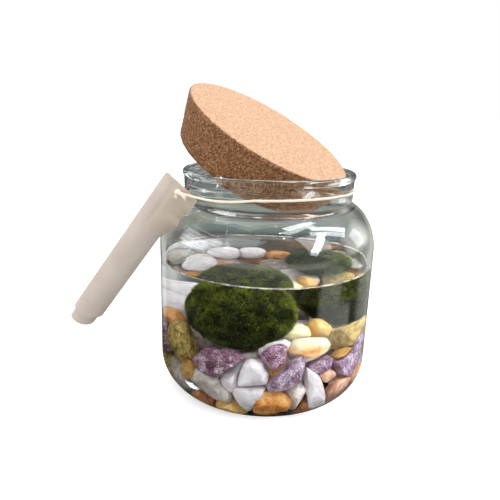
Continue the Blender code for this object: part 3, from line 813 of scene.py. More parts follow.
# %% [markdown]
# The stones against the front glass are the ones that are looked at, and no two have the same outline. Each
# of them gets the few corners that it shows there, in millimetres to the right of its middle and above it,
# as seen through glass and water. A corner that a neighbour hides is placed where the stone would plainly
# end.
# %% Outlines of the front stones
OUTLINES = {
    "purple_large": (
        (-10.5, -1.5), (-6.5, 3.5), (-3, 5.5), (8.5, 6), (12.5, 2.5), (7.5, -2.5), (0.5, -8), (-7, -6),
    ),
    "purple_small": ((-6, 0), (-2.5, 4), (2.5, 5.5), (5.5, 4), (4.5, -2.5), (0.5, -6.5), (-2.5, -4.5)),
    "purple_slanting": (
        (6.5, 7), (2.5, 6.5), (-4.5, -1), (-8.5, -6), (-7, -9), (0.5, -8), (5.5, -4.5), (7.5, 2.5),
    ),
    "purple_middle": ((-7, 0), (4, 4), (7.5, 2), (6.5, -2.5), (3.5, -4), (0, -4.5), (-6, -2)),
    "purple_right": ((-4.5, 3.5), (5, 5), (10.5, 2), (9, -7), (-1, -4), (-5, 0)),
    "white_middle": ((-4, 3.5), (-1, 5), (4.5, 4), (6, -1), (5.5, -6.5), (-7, -8.5), (-6, -1.5)),
    "white_wedge": ((-5, 4), (0, 7), (5, 7), (5, 0), (3.5, -5.5), (0.5, -8), (-3, -5), (-5, -1)),
    "white_low": ((-7, 2.4), (-5.5, 5.2), (6.5, 8.3), (8, 5.5), (4.5, -2), (0.5, -5.5), (-4, -3)),
    "white_long": ((-3.5, 11), (-0.5, 9), (3.5, 5), (6.5, -3), (7, -9), (-0.5, -10), (-3, -1), (-5, 8.5)),
    "grey_left": (
        (-8.5, 5.5), (-9.5, 1), (-3, -2.5), (2.5, -5.5), (10.5, -5.5), (11, -1), (9, 5), (3, 9), (-5, 9),
    ),
    "beige_low": ((-3, 5), (4.5, 6.5), (8, 2), (3, -6), (-2, -5), (-4, 1)),
    "orange_low": ((-7, 2.5), (-5, 6), (-1.5, 6.5), (4, 4.5), (7.5, 1), (7, -2.5), (-3, -5), (-8.5, -4)),
    "cream_orange_heart": (
        (-9.5, -0.5), (-7, 4.5), (-1, 5.5), (6.5, 5), (9, 1.5), (7, -2), (0, -5.5), (-3, -6), (-8.5, -3.5),
    ),
    "yellow_striped": (
        (-8, -3), (-5, 3), (0.5, 4.5), (4.5, 4.5), (8, 2.5), (9.5, -1.5), (8.5, -3), (2.5, -5), (-3, -5),
    ),
    "khaki_block": ((-10.5, -4.5), (-11, 0), (-8, 4.5), (8, 9), (10.5, 5), (3, -5), (-3, -6.5), (-8, -6.5)),
    "olive_left": (
        (-9.5, 3), (-4, 8.5), (2, 8.5), (6.5, 1), (8.5, -7), (6, -12), (-1, -11), (-9, -5), (-10.5, 0),
    ),
    "peach_top": ((-5.5, 1), (-2.5, 4.5), (1, 4), (5.5, -1), (4, -6.5), (-4, -6)),
    "amber_thin": ((-5, -1), (-3, 1.5), (3, 2.5), (6, 1), (3, -2), (-2, -3)),
    "peach_small": ((-4.5, 0.5), (-4, 3), (-1, 4), (3.5, 1.5), (4, -0.5), (-1, -3), (-4, -1)),
    "peach_low": ((0.5, 7), (5.5, 6), (10, 3.5), (5.5, -1.5), (-3.5, -5), (-4.5, 0.5), (-1.5, 4.5)),
    "amber_bead": ((-4, -3), (-3, 2.5), (0.5, 4.5), (4, 3), (5, -1), (3.5, -4.5), (0, -5)),
}
print("stones with an outline of their own:", len(OUTLINES))
# %% [markdown]
# A stone is pressed into its outline by scaling it across the line of sight, which dips more steeply in the
# water than in the air and spreads a little to both sides. The corners are joined by a smooth rule that is
# crisper for broken stones than for tumbled ones, and stones are made a tenth larger than they look, so
# that they touch. What would then stick into the glass is pulled back.
# %% Pressing a stone into its outline
NUDGED = {"yellow_striped": (-0.3, -2.8, 0.6), "amber_bead": (0.4, -1.0, 0.0)}
# The line of sight in degrees below level and round from the right, and its spread for each millimetre
SIGHT_DIP, SIGHT_AHEAD, SIGHT_SPREAD = 21.5, 89.5, 0.22
ROUNDED, CRISP, TOUCHING = 12, 20, 1.10
SIDES = np.linspace(0, math.tau, 73)[:-1]


def press_to_outline(places, middle, outline, crispness):
    """Scale a stone across the line of sight until its outline is the one that is given."""
    azimuth, dip = math.radians(SIGHT_AHEAD + SIGHT_SPREAD * middle[0]), math.radians(SIGHT_DIP)
    sight = np.array((math.cos(azimuth) * math.cos(dip), math.sin(azimuth) * math.cos(dip), -math.sin(dip)))
    right = unit(np.cross(sight, (0, 0, 1))[None])[0]
    up = np.cross(right, sight)
    flat = np.stack(((places - middle) @ right, (places - middle) @ up), axis=1)
    inward = flat - (flat.min(axis=0) + flat.max(axis=0)) / 2
    corners = np.array(outline, dtype=float)
    heart = (corners.min(axis=0) + corners.max(axis=0)) / 2
    edges = np.roll(corners, -1, axis=0) - corners
    facing = unit(np.stack((edges[:, 1], -edges[:, 0]), axis=1))
    reach = ((corners - heart) * facing).sum(axis=1)
    toward = unit(inward)
    near = np.maximum(toward @ (facing / reach[:, None]).T, 0) ** crispness
    wanted = near.sum(axis=1) ** (-1 / crispness)
    around = np.stack((np.cos(SIDES), np.sin(SIDES)))
    widest = (inward @ around).max(axis=0)
    present = (widest / np.maximum(toward @ around, 0.05)).min(axis=1)
    pressed = heart + inward * (TOUCHING * wanted / present)[:, None]
    return places + np.outer(pressed[:, 0] - flat[:, 0], right) + np.outer(pressed[:, 1] - flat[:, 1], up)


def keep_inside(places, gap=0.3):
    """Pull what would touch the glass back to just inside its wall, its round corner and its floor."""
    places[:, 2] = np.maximum(places[:, 2], WALL + gap)
    reach = CORNER - WALL - gap
    fall = np.clip((CORNER - places[:, 2]) / reach, 0, 1)
    limit = JAR_RADIUS - CORNER + reach * np.sqrt(1 - fall**2)
    places[:, :2] *= np.minimum(1, limit / np.maximum(np.hypot(places[:, 0], places[:, 1]), 1))[:, None]
    return places


print("the line of sight dips by", SIGHT_DIP, "degrees in the water")
# %% [markdown]
# Now the bed is made, stone by stone: rounded, flattened, pressed, nudged or broken where the picture asks
# for it, and given a little noise that breaks up the last smoothness. The tumbled stones at the front are
# smoothed once more.
# %% Pebbles
stones = []
for index, node in enumerate(sorted(n for n in frame["nodes"] if n.startswith("pebble_"))):
    title = node.removeprefix("pebble_")
    kind = bpy.data.objects[node].data.materials[0].name.split(".")[0]
    close = title in OUTLINES
    stone = own_copy(node, "stone_" + title)
    round_off(stone, 3 if close else 2, 1.03)
    count, share, cut, size, depth = CHARACTER.get(kind, SMOOTH_CHARACTER)
    places = flatten(points_of(stone), count, share, cut, index)
    if close:
        low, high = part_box(node)
        crispness = CRISP if kind in CHARACTER else ROUNDED
        places = press_to_outline(places, np.array(low + high) / 2 / MM, OUTLINES[title], crispness)
        places += np.array(NUDGED.get(title, (0, 0, 0)))
    if title in BROKEN_ENDS:
        places = cut_end(places, *BROKEN_ENDS[title])
    if close and kind not in CHARACTER:
        move_points(stone, places)
        use_modifier(stone, "SMOOTH", factor=0.5, iterations=10)
        places = points_of(stone)
    relief = waves(places, size, index) * depth + waves(places, size / 3, index) * depth * 0.35
    move_points(stone, keep_inside(places + normals_of(stone) * relief[:, None]))
    pick(stone)
    if kind in ("purple", "lilac", "khaki"):
        bpy.ops.object.shade_smooth_by_angle(angle=math.radians(28))
    else:
        bpy.ops.object.shade_smooth()
    dress(stone, stone_finishes[OTHER_FINISH.get(title, kind)], node)
    stones.append(stone)
print("pebbles:", len(stones), "faces:", sum(len(s.data.polygons) for s in stones))
# %% [markdown]
# ## The moss balls
# A marimo is a ball of green algae: threads that grow outwards from the middle so densely that the ball
# looks like velvet, dark between the threads and bright at their tips. One thread is modelled, a narrow
# strip that bends over and ends in a point, and many thousand copies are set on a dark lumpy core.
# %% One thread


def make_thread():
    """A narrow strip 2 mm long, in three parts, along Y."""
    bpy.ops.object.select_all(action="DESELECT")
    bpy.ops.mesh.primitive_plane_add(size=MM)
    thread = bpy.context.object
    edit_all(thread)
    bpy.ops.transform.resize(value=(0.17, 0.8, 1.0))
    bpy.ops.transform.translate(value=(0, 0.4 * MM, 0))
    for rise, bend, taper in ((0.7, 0.10, 0.75), (0.5, 0.22, 0.04)):
        bm = bmesh.from_edit_mesh(thread.data)
        far = max(v.co.y for v in bm.verts)
        for vert in bm.verts:
            vert.select = vert.co.y > far - 1e-6
        bm.select_flush_mode()
        bmesh.update_edit_mesh(thread.data)
        bpy.ops.mesh.extrude_edges_move(TRANSFORM_OT_translate={"value": (0, rise * MM, bend * MM)})
        bpy.ops.transform.resize(value=(taper, 1, 1))
    bpy.ops.mesh.select_all(action="SELECT")
    bpy.ops.mesh.remove_doubles(threshold=0.02 * MM)
    bpy.ops.object.mode_set(mode="OBJECT")
    return thread


thread = make_thread()
thread_points = points_of(thread)
thread_faces = [tuple(f.vertices) for f in thread.data.polygons]
bpy.data.objects.remove(thread)
print("one thread:", len(thread_points), "points,", len(thread_faces), "faces")
# %% [markdown]
# The moss finish reads two numbers that are kept on the threads themselves: how far along the thread a point
# is, and a tone that is the tuft's own and also carries painted shade on the ball's lower half. Roots are
# painted almost black, as shade deep between the threads, and tips go from olive to a fresh yellow green. A
# faint sheen stands for light that comes through the threads at the ball's edge.
# %% Moss finish
moss_paint = Paint("moss_threads")
tip = moss_paint.node("Attribute", {"attribute_name": "tip"}, output="Fac")
tone = moss_paint.node("Attribute", {"attribute_name": "tone"}, output="Fac")
# painted shade: the roots are almost black in both greens, for the shade deep between the threads
dark_and_shaded_green = moss_paint.ramp(
    tip, (0.0, (0.005, 0.007, 0.0005)), (0.45, (0.030, 0.037, 0.002)), (1.0, (0.100, 0.104, 0.009))
)
fresh_green = moss_paint.ramp(
    tip, (0.0, (0.020, 0.026, 0.001)), (0.45, (0.170, 0.190, 0.005)), (1.0, (0.560, 0.550, 0.060))
)
moss = moss_paint.finish(
    Base_Color=moss_paint.mix(tone, dark_and_shaded_green, fresh_green),
    Roughness=0.75,
    Specular_IOR_Level=0.05,
    Sheen_Weight=0.3,
    Sheen_Roughness=0.4,
    Sheen_Tint=(0.50, 0.62, 0.12),
)
print("moss finish:", moss.name)
# %% [markdown]
# Between the threads the core shows, painted almost black as shade deep in the coat, and here and there a
# pearl of air hangs in them.
# %% Core and pearl finishes
core_paint = Paint("moss_core")
core_spot = core_paint.spot()
core_clouds = core_paint.clouds(core_spot, 1.0, 4.0)
# painted shade: the core is almost black, as it lies deep in the coat
core_shade_tone = core_paint.ramp(core_clouds, (0.3, (0.003, 0.005, 0.001)), (0.7, (0.014, 0.022, 0.004)))
core = core_paint.finish(
    Base_Color=core_shade_tone,
    Roughness=0.9,
    Normal=core_paint.bump(core_paint.clouds(core_spot, 0.6), 0.5),
    Specular_IOR_Level=0.05,
)
pearl_paint = Paint("air_pearl")
pearl_clouds = pearl_paint.clouds(pearl_paint.spot(), 2.0)
# painted reflection: the pale colour stands for the light that the air bubbles reflect
pearl_reflection_tone = pearl_paint.mix(pearl_clouds, ink(176, 182, 140), ink(236, 236, 212))
pearl = pearl_paint.finish(Base_Color=pearl_reflection_tone, Roughness=0.2)
print("finishes:", core.name, "and", pearl.name)
# %% [markdown]
# Threads, pearls and loose hairs are all many copies of one small form. Hair particles would do the same in
# Blender, but here each coat is plain mesh: random places on the surface are picked by area, and a copy of
# the form is put at each with axes of its own.
# %% Scattering copies


def scatter(piece, count, seed):
    """Random places on a mesh by area, with the outward direction at each."""
    chance = np.random.default_rng(seed)
    piece.data.calc_loop_triangles()
    corners = np.array([t.vertices for t in piece.data.loop_triangles])
    places, outward = points_of(piece), normals_of(piece)
    a, b, c = (places[corners[:, i]] for i in range(3))
    areas = np.linalg.norm(np.cross(b - a, c - a), axis=1)
    chosen = chance.choice(len(corners), count, p=areas / areas.sum())
    u, v = chance.random(count), chance.random(count)
    flip = u + v > 1
    u, v = np.where(flip, 1 - u, u), np.where(flip, 1 - v, v)
    weights = np.stack((1 - u - v, u, v), axis=1)
    place, normal = (np.einsum("ni,nij->nj", weights, rows[corners[chosen]]) for rows in (places, outward))
    return place, unit(normal)


def copy_mesh(name, points, faces, roots, sideways, along, outward, scale):
    """One mesh of many copies of a small form, each turned to its own axes."""
    local = points[None] * scale[:, None, None]
    placed = roots[:, None] + local[..., :1] * sideways[:, None] + local[..., 1:2] * along[:, None]
    placed += local[..., 2:] * outward[:, None]
    count, each = len(roots), len(points)
    mesh = bpy.data.meshes.new(name)
    mesh.from_pydata(
        (placed.reshape(-1, 3) * MM).tolist(),
        [],
        [tuple(v + i * each for v in face) for i in range(count) for face in faces],
    )
    made = bpy.data.objects.new(name, mesh)
    bpy.context.scene.collection.objects.link(made)
    return made


def keep_number(piece, name, values):
    """Store one number for each point of a mesh."""
    layer = piece.data.attributes.new(name, "FLOAT", "POINT")
    layer.data.foreach_set("value", np.asarray(values, dtype=np.float32))


print("a thread is copied with", len(thread_faces), "faces")
# %% [markdown]
# The core is the solid, drawn in by the length of the threads and made lumpy. The threads lean along slow
# swirls, so they lie in tufts. Tufts differ in tone, and the lower half, which the ball shades itself, is
# darker. Their normals point outwards from the ball, so that the coat takes the light like one soft body.
# %% A ball and its coat
THREAD_ROOM, PEARL_LIFT = 1.5, 1.3


def grow_ball(node, title, count, seed):
    """A dark core and its coat of threads."""
    heart = own_copy(node, title + "_core")
    round_off(heart, 2)
    places = points_of(heart)
    lumps = 0.55 * waves(places, 7.0, seed) + 0.3 * waves(places, 2.6, seed)
    move_points(heart, places - normals_of(heart) * (THREAD_ROOM - lumps)[:, None])
    pick(heart)
    bpy.ops.object.shade_smooth()
    dress(heart, core, node)
    roots, outward = scatter(heart, count, seed)
    chance = np.random.default_rng(seed + 1)
    flow = np.stack([waves(roots, 6.0, seed + 10 * k) for k in (1, 2, 3)], axis=1)
    along = unit(outward * 0.75 + flow * 1.3 + chance.normal(size=roots.shape) * 0.28)
    sideways = unit(np.cross(along, outward + chance.normal(size=roots.shape) * 0.3))
    scale = 0.75 + 0.5 * chance.random(count)
    coat = copy_mesh(
        title + "_threads",
        thread_points,
        thread_faces,
        roots,
        sideways,
        along,
        np.cross(sideways, along),
        scale,
    )
    reach = thread_points[:, 1] / thread_points[:, 1].max()
    keep_number(coat, "tip", np.tile(reach, count))
    middle = roots.mean(axis=0)
    shaded = np.clip((middle[2] - roots[:, 2]) / np.ptp(roots[:, 2]) * 2 + 0.15, 0, 1)
    patch = 0.55 + 0.28 * waves(roots, 3.5, seed + 50) + 0.3 * waves(roots, 11.0, seed + 60)
    # painted shade: the lower half of the coat is darkened through its tone
    patch += 0.45 * waves(roots, 1.3, seed + 70) - 0.95 * shaded
    tone = np.clip(patch * 0.8 + 0.35 * (chance.random(count) - 0.5), 0, 1)
    keep_number(coat, "tone", np.repeat(tone, len(thread_points)))
    soft = unit(outward + 0.35 * along)
    coat.data.normals_split_custom_set_from_vertices(np.repeat(soft, len(thread_points), axis=0).tolist())
    coat.data.materials.append(moss)
    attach(coat, "root")
    return heart, coat


print("threads have", THREAD_ROOM, "mm of room")
# %% [markdown]
# Algae give off oxygen in the light, and tiny bubbles of it stay caught at the tips of the threads.
# %% Pearls of air


def string_pearls(heart, title, count, seed):
    """Small bubbles of air at the tips of the threads."""
    bpy.ops.object.select_all(action="DESELECT")
    bpy.ops.mesh.primitive_ico_sphere_add(subdivisions=1, radius=MM)
    bubble = bpy.context.object
    edit_all(bubble)
    bpy.ops.transform.resize(value=(1, 1, 0.85))
    bpy.ops.object.mode_set(mode="OBJECT")
    points, faces = points_of(bubble), [tuple(f.vertices) for f in bubble.data.polygons]
    bpy.data.objects.remove(bubble)
    roots, outward = scatter(heart, count, seed)
    sideways = unit(np.cross(outward, (0.3, 0.2, 0.9)))
    scale = 0.10 + 0.14 * np.random.default_rng(seed).random(count) ** 2
    pearls = copy_mesh(
        title + "_pearls",
        points,
        faces,
        roots + outward * PEARL_LIFT,
        sideways,
        np.cross(outward, sideways),
        outward,
        scale,
    )
    pick(pearls)
    bpy.ops.object.shade_smooth()
    pearls.data.materials.append(pearl)
    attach(pearls, "root")
    return pearls


print("pearls are 0.10 to 0.24 mm in radius")
# %% [markdown]
# The larger ball lies against the front of the glass, and the smaller one behind it to the right.
# %% Both balls
for node, title, count, bubbles in (
    ("marimo_ball_large", "large_marimo", 34000, 420),
    ("marimo_ball_small", "small_marimo", 24000, 200),
):
    heart, coat = grow_ball(node, title, count, count % 97)
    string_pearls(heart, title, bubbles, bubbles)
    print(title, "threads:", count, "faces:", len(coat.data.polygons))
# %% [markdown]
# ## The cork stopper
# The stopper is cut from agglomerated cork: granules of a millimetre or so, pressed and glued. The flat cut
# faces are pale, and the side is rougher and darker: partly the cork's own colour and partly painted shade,
# because the side gets less light than the top.
# %% Cork finish
cork_paint = Paint("pressed_cork")
cork_spot = cork_paint.spot()
cut_face = cork_paint.node("Attribute", {"attribute_name": "cut_face"}, output="Fac")
granule = cork_paint.node("SeparateColor", None, {0: cork_paint.cells(cork_spot, 0.55, 1)})
granule_edge = cork_paint.cells(cork_spot, 0.55, 0, "DISTANCE_TO_EDGE")
crumbs = cork_paint.clouds(cork_spot, 1.6, 5.0, 0.75)
speck = cork_paint.clouds(cork_spot, 0.55, 2.0, 0.5, 0.8).between(0.57, 0.64)
blend = granule * 0.55 + crumbs * 0.45
pale = cork_paint.ramp(
    blend,
    (0.2, ink(184, 130, 92)),
    (0.42, ink(217, 168, 128)),
    (0.62, ink(230, 189, 153)),
    (0.85, ink(241, 212, 182)),
)
# The side's colours are the cork's own, made darker still as painted shade for the side that gets less light.
side_colour_and_painted_shade = cork_paint.ramp(
    blend,
    (0.2, ink(84, 48, 24)),
    (0.42, ink(134, 86, 50)),
    (0.62, ink(164, 114, 72)),
    (0.85, ink(206, 158, 106)),
)
pale = cork_paint.mix(speck * 0.45, pale, ink(170, 110, 76))
side_colour_and_painted_shade = cork_paint.mix(speck * 0.85, side_colour_and_painted_shade, ink(58, 32, 20))
cork_relief = (granule * 0.5 + crumbs * 0.5) * granule_edge.between(0.0, 0.10)
cork_material = cork_paint.finish(
    Base_Color=cork_paint.mix(cut_face, side_colour_and_painted_shade, pale),
    Roughness=0.85,
    Normal=cork_paint.bump(cork_relief, 0.28),
)
print("cork finish:", cork_material.name)
# %% [markdown]
# The stopper is turned as a cone with a small bevel. Its surface is broken up with little pits and proud
# granules, and it is tilted into the mouth as the picture shows.
# %% Cork stopper
CORK_TOP, CORK_FOOT, CORK_THICK, CORK_BEVEL = 44.0, 39.5, 21.8, 0.8
CORK_TILT, CORK_LEAN_AZIMUTH, CORK_PLACE = 30.4, -24.5, (0.2, 0.0, 133.9)
rings = [(r, 0.0) for r in np.linspace(0, CORK_TOP - CORK_BEVEL, 44)]
side_rise = np.linspace(-CORK_BEVEL, -CORK_THICK + CORK_BEVEL, 22)
slope = (CORK_TOP - CORK_FOOT) / (CORK_THICK - 2 * CORK_BEVEL)
rings += [(CORK_TOP - 0.25, -0.25)] + [(CORK_TOP + (z + CORK_BEVEL) * slope, z) for z in side_rise]
rings += [(CORK_FOOT - 0.55, -CORK_THICK + 0.25)]
rings += [(r, -CORK_THICK) for r in np.linspace(CORK_FOOT - CORK_BEVEL, 0, 30)]
cork = turn_profile("cork", rings[::-1], 240)
places = points_of(cork)
on_cut = (np.abs(places[:, 2]) < 0.01) | (np.abs(places[:, 2] + CORK_THICK) < 0.01)
pits = -np.maximum(waves(places, 1.6, 3.0) - 0.25, 0) * 0.9 + waves(places, 0.9, 9.0) * 0.10
pits = np.where(on_cut, pits * 0.45, pits)
move_points(cork, places + normals_of(cork) * pits[:, None])
keep_number(cork, "cut_face", on_cut.astype(float))
cork.rotation_euler = (0.0, math.radians(CORK_TILT), math.radians(CORK_LEAN_AZIMUTH))
cork.location = Vector(CORK_PLACE) * MM
pick(cork)
bpy.ops.object.transform_apply(location=True, rotation=True, scale=True)
bpy.ops.object.shade_smooth_by_angle(angle=math.radians(40))
dress(cork, cork_material, "cork_stopper")
print("cork faces:", len(cork.data.polygons))
# %% [markdown]
# ## The twine
# Jute or cotton twine is two or three plies laid round each other. It goes once round the neck, out through
# the hole in the leaflet, and is knotted in front of it. The route is the same as the solid's.
# %% Twine route
TWINE_RADIUS, TWINE_HEIGHT, TWINE_SLOPE, TWINE_HIGH_AZIMUTH, TIE_HEIGHT = 0.55, 105.1, 2.2, -50.0, 108.2
ROLL_TILT, ROLL_AZIMUTH, ROLL_NECK_POINT = 36.6, 164.9, Vector((-42.0, -28.9, 110.0))
ROLL_RADIUS, KNOT_SETBACK, KNOT_SHIFT = 7.2, 2.1, 4.0


def polar(azimuth, radius, height=0.0):
    """Point at an azimuth in degrees round the jar's axis."""
    a = math.radians(azimuth)
    return Vector((radius * math.cos(a), radius * math.sin(a), height))


roll_down = polar(ROLL_AZIMUTH, math.sin(math.radians(ROLL_TILT)), -math.cos(math.radians(ROLL_TILT)))
roll_front = Vector((0, -1, 0))
roll_front = (roll_front - roll_down * roll_front.dot(roll_down)).normalized()
roll_right = roll_front.cross(roll_down)
hole = ROLL_NECK_POINT + roll_front * (ROLL_RADIUS + KNOT_SETBACK) + roll_right * KNOT_SHIFT
hole.z = TIE_HEIGHT
loop_radius = NECK_RADIUS + 0.3 + TWINE_RADIUS
hole_azimuth = math.degrees(math.atan2(hole.y, hole.x))
free = math.degrees(math.acos(loop_radius / hole.xy.length))
route = []
for step in range(271):
    azimuth = hole_azimuth + free + (360 - 2 * free) * step / 270
    rise = TWINE_SLOPE * math.cos(math.radians(azimuth - TWINE_HIGH_AZIMUTH))
    route.append(polar(azimuth, loop_radius, TWINE_HEIGHT + rise))
sag = Vector((0, -1.0, -1.8))
last, first = route[-1].copy(), route[0].copy()
out = (hole - last).length
steps_out = round(out)
route += [last.lerp(hole, t / steps_out) for t in range(1, steps_out + 1)]
for t in range(1, steps_out):
    route.append(hole.lerp(first, t / steps_out) + sag * math.sin(math.pi * t / steps_out))
twine_length = sum((b - a).length for a, b in zip(route, route[1:] + route[:1]))
print("twine loop in mm:", round(twine_length))
# %% [markdown]
# Each ply is a curve with a round bevel that winds about the route as a helix, and is then turned into a
# mesh. At a free end the plies fan out, because nothing holds them together there.
# %% Twine plies


def lay_plies(name, path, closed, plies, thread_radius, pitch, fray=0.0):
    """Strands in a helix about a path of points, each turned into a mesh."""
    finer = []
    count = len(path) if closed else len(path) - 1
    for i in range(count):
        a, b = path[i], path[(i + 1) % len(path)]
        pieces = max(1, round((b - a).length / 0.35))
        finer += [a.lerp(b, t / pieces) for t in range(pieces)]
    turns = max(1, round(sum((b - a).length for a, b in zip(finer, finer[1:])) / pitch))
    strands = []
    for ply in range(plies):
        curve = bpy.data.curves.new(name, "CURVE")
        curve.dimensions = "3D"
        curve.bevel_depth = thread_radius * MM
        curve.bevel_resolution = 1
        curve.use_fill_caps = not closed
        spline = curve.splines.new("POLY")
        spline.points.add(len(finer) - 1)
        for i, point in enumerate(finer):
            ahead_of = finer[(i + 1) % len(finer)] if closed or i + 1 < len(finer) else point
            before = finer[i - 1] if closed or i else point
            along = (ahead_of - before).normalized()
            side = along.cross(Vector((0, 0, 1))).normalized()
            other = along.cross(side)
            share = i / len(finer)
            a = math.tau * (turns * share + ply / plies)
            reach = (TWINE_RADIUS + 0.08 - thread_radius) * (1 + fray * share**3)
            wobble = 1 + 0.10 * math.sin(17.0 * math.tau * share + ply)
            place = point + (side * math.cos(a) + other * math.sin(a)) * reach * wobble
            spline.points[i].co = (*(place * MM), 1.0)
        spline.use_cyclic_u = closed
        strand = bpy.data.objects.new(name, curve)
        bpy.context.scene.collection.objects.link(strand)
        pick(strand)
        bpy.ops.object.convert(target="MESH")
        strands.append(bpy.context.object)
    return strands


print("plies follow a route of", len(route), "points")
# %% [markdown]
# The loop has three plies. Its two ends hang from the knot, and the knot is three small turns laid across
# each other. All strands are joined into one piece.
# %% Loop, ends and knot
strands = lay_plies("twine_loop", route, True, 3, 0.37, 4.2)
for length, sideways, forwards in ((5.0, 62.0, 20.0), (3.0, -30.0, 25.0)):
    turn = Matrix.Rotation(math.radians(-sideways), 3, "Y") @ Matrix.Rotation(math.radians(-forwards), 3, "X")
    heading = turn @ Vector((0, 0, -1))
    end = [hole + heading * length * t / 8 + Vector((0, 0, -0.35)) * (t / 8) ** 2 for t in range(9)]
    strands += lay_plies("twine_end", end, False, 3, 0.30, 3.6, 1.6)
knot_steps = np.linspace(0, math.tau, 25)[:-1]
for tilt_x, tilt_y, reach in ((0.3, 0.4, 1.05), (1.5, 0.3, 0.9), (0.9, 1.3, 0.8)):
    turn = Matrix.Rotation(tilt_x, 3, "X") @ Matrix.Rotation(tilt_y, 3, "Y")
    around = [Vector((math.cos(a), math.sin(a), 0.15 * math.sin(2 * a))) for a in knot_steps]
    ring = [hole + turn @ step * reach for step in around]
    strands += lay_plies("twine_knot", ring, True, 3, 0.30, 3.0)
pick(*strands)
bpy.ops.object.join()
twine = bpy.context.object
twine.name = "neck_twine"
print("twine faces:", len(twine.data.polygons))
# %% [markdown]
# Undyed twine is cream, with darker fibres between lighter ones.
# %% Twine finish
twine_paint = Paint("jute_twine")
twine_spot = twine_paint.spot()
strand_tone = twine_paint.clouds(twine_spot, 1.2, 3.0)
fibre = twine_paint.clouds(twine_spot, 0.16, 2.0)
twine_blend = strand_tone * 0.6 + fibre * 0.4
twine_colour = twine_paint.ramp(
    twine_blend, (0.25, ink(212, 196, 170)), (0.5, ink(236, 226, 208)), (0.75, ink(248, 243, 232))
)
fibre_bump = twine_paint.bump(fibre, 0.08)
twine_finish = twine_paint.finish(Base_Color=twine_colour, Roughness=0.85, Normal=fibre_bump)
dress(twine, twine_finish, "twine")
pick(twine)
bpy.ops.object.shade_smooth()
print("the twine wears", twine_finish.name)
# %% [markdown]
# A few hundred loose hairs keep the twine's outline soft. They are the moss thread again, made thinner and
# shorter.
# %% Loose hairs
chance = random.Random(7)
hair_roots, hair_along = [], []
for _ in range(700):
    i = chance.randrange(len(route))
    along = (route[(i + 1) % len(route)] - route[i]).normalized()
    anywhere = Vector([chance.uniform(-1, 1) for _ in range(3)])
    away = along.cross(anywhere).normalized()
    hair_roots.append(route[i] + away * 0.4)
    hair_along.append((along * chance.uniform(-1, 1) + away * chance.uniform(0.3, 0.9)).normalized())
hair_roots, hair_along = np.array(hair_roots), np.array(hair_along)
hair_side = unit(np.cross(hair_along, (0.2, 0.3, 0.9)))
hairs = copy_mesh(
    "twine_hairs",
    thread_points * (0.35, 0.6, 1.0),
    thread_faces,
    hair_roots,
    hair_side,
    hair_along,
    np.cross(hair_side, hair_along),
    np.ones(len(hair_roots)),
)
hairs.data.materials.append(twine_finish)
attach(hairs, "root")
print("hairs:", len(hair_roots))
# %% [markdown]
# ## The rolled leaflet
# A sheet of uncoated paper is rolled one and a half times round, with its last turn lying open as a flap at
# the top. Seen from its end, the sheet is a spiral that goes over into the flap.
# %% Section of the roll
ROLL_CORE_RADIUS, ROLL_TURNS, ROLL_LENGTH = 5.0, 1.6, 88.0
SLIP_TOP, SLIP_FOOT, ROLL_BEHIND, ROLL_ABOVE = 9.0, 13.0, (0.18, 0.38), 4.6
FLAP_LENGTH, FLAP_CURL_RADIUS, FLAP_REACH, FLAP_START, FLAP_CORNER = 12.0, 8.0, 30.0, 93.0, 1.5
ROLL_COLUMNS, FLAP_COLUMNS, ROLL_ROWS = 130, 20, 100
CREASE_DEPTH, CREASE_WIDTH, COLUMN_WIDTH = 0.55, 1.3, 0.55


def roll_section(open_share):
    """Points across the sheet, inner edge first, as (right, front). Open share 1 lays the flap flat."""
    section = []
    for i in range(ROLL_COLUMNS + 1):
        left = 1 - i / ROLL_COLUMNS
        a = math.radians(FLAP_START + 360 * ROLL_TURNS * left)
        radius = ROLL_RADIUS - (ROLL_RADIUS - ROLL_CORE_RADIUS) * left
        section.append(Vector((radius * math.cos(a), radius * math.sin(a))))
    heading = math.radians(FLAP_START - 90)
    step = FLAP_LENGTH / FLAP_COLUMNS
    for _ in range(FLAP_COLUMNS):
        heading -= (1 - open_share) * step / FLAP_CURL_RADIUS
        section.append(section[-1] + Vector((math.cos(heading), math.sin(heading))) * step)
    return section


print("across the flap at its foot:", len(roll_section(0.0)), "points")
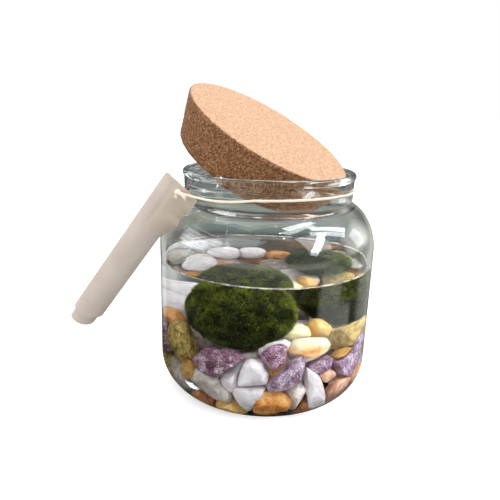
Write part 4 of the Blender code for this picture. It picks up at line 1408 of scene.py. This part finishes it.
# %% [markdown]
# The sheet is laid out as a fine grid and bent to the spiral row by row. The inner turns have slipped down a
# little, the flap opens towards the top, with a soft crease at its root, and its free edge waves. How much a
# place is tinted darker and yellower is kept as a number: the flap and its root, most towards the top.
# %% Leaflet sheet
bpy.ops.object.select_all(action="DESELECT")
grid = {"x_subdivisions": ROLL_COLUMNS + FLAP_COLUMNS, "y_subdivisions": ROLL_ROWS}
bpy.ops.mesh.primitive_grid_add(size=1.0, **grid)
leaflet = bpy.context.object
leaflet.name = "rolled_leaflet"
columns = ROLL_COLUMNS + FLAP_COLUMNS + 1
places, aged = [], []
for row in range(ROLL_ROWS + 1):
    station = ROLL_LENGTH * (row / ROLL_ROWS) ** 1.15
    open_share = max(0.0, 1 - station / FLAP_REACH)
    section = roll_section(open_share**0.7 if open_share else 0.0)
    for i, point in enumerate(section):
        inner = 1 - i / (columns - 1)
        flap = max(0.0, 1 - inner * columns / (FLAP_COLUMNS + 1))
        behind = min(max((inner - ROLL_BEHIND[0]) / (ROLL_BEHIND[1] - ROLL_BEHIND[0]), 0.0), 1.0)
        top = SLIP_TOP * behind**2 * (3 - 2 * behind) + FLAP_CORNER * flap**2
        down_by = top + (ROLL_LENGTH + SLIP_FOOT * inner - top) * station / ROLL_LENGTH - ROLL_ABOVE
        loose = flap**2 * min(1.0, 2.5 * open_share)
        wave = loose * (0.55 * math.sin(station * 0.42) + 0.3 * math.sin(station * 1.1 + 1))
        step = i - ROLL_COLUMNS
        from_root = step * FLAP_LENGTH / FLAP_COLUMNS if step > 0 else step * COLUMN_WIDTH
        valley = CREASE_DEPTH * min(1.0, 3.0 * open_share) * math.exp(-((from_root / CREASE_WIDTH) ** 2))
        edge = roll_right * (point.x + wave) + roll_front * (point.y + wave - valley)
        aged.append(min(1.0, 3.0 * open_share) * (0.15 + 0.85 * flap**0.5) if i > ROLL_COLUMNS - 6 else 0.0)
        places.append(ROLL_NECK_POINT + roll_down * down_by + edge)
move_points(leaflet, np.array(places))
keep_number(leaflet, "aged", aged)
print("sheet points:", len(places))
# %% [markdown]
# The twine passes through a punched hole, whose faces are found by their distance from the twine's line and
# deleted. Then Solidify gives the paper its thickness.
# %% Punched hole and thickness
edit_all(leaflet)
bpy.ops.mesh.select_all(action="DESELECT")
bpy.ops.object.mode_set(mode="OBJECT")
axis = (hole - route[270]).normalized()
for face in leaflet.data.polygons:
    gap = Vector(face.center) / MM - hole
    face.select = (gap - axis * gap.dot(axis)).length < 1.1 and abs(gap.dot(axis)) < 6
punched = sum(f.select for f in leaflet.data.polygons)
bpy.ops.object.mode_set(mode="EDIT")
bpy.ops.mesh.delete(type="FACE")
bpy.ops.object.mode_set(mode="OBJECT")
use_modifier(leaflet, "SOLIDIFY", thickness=0.35 * MM, offset=0.0, use_even_offset=False)
pick(leaflet)
bpy.ops.object.shade_smooth_by_angle(angle=math.radians(50))
print("leaflet faces:", len(leaflet.data.polygons), "punched:", punched)
# %% [markdown]
# Uncoated paper is grey cream with fine pulp, and the flap is a little darker and yellower.
# %% Leaflet finish
paper_paint = Paint("uncoated_paper")
paper_spot = paper_paint.spot()
pulp = paper_paint.clouds(paper_spot, 0.5, 4.0, 0.6)
stain = paper_paint.clouds(paper_spot, 14.0, 3.0)
paper_blend = stain * 0.75 + pulp * 0.25
paper_colour = paper_paint.ramp(paper_blend, (0.25, ink(180, 168, 157)), (0.75, ink(202, 191, 181)))
flap_tint_share = paper_paint.node("Attribute", {"attribute_name": "aged"}, output="Fac")
# The flap and its root are painted a little darker and yellower.
paper_colour = paper_paint.mix(flap_tint_share * 0.8, paper_colour, ink(186, 172, 150))
pulp_bump = paper_paint.bump(pulp, 0.04)
paper_material = paper_paint.finish(Base_Color=paper_colour, Roughness=0.8, Normal=pulp_bump)
dress(leaflet, paper_material, "paper_scroll")
print("the leaflet wears", paper_material.name)
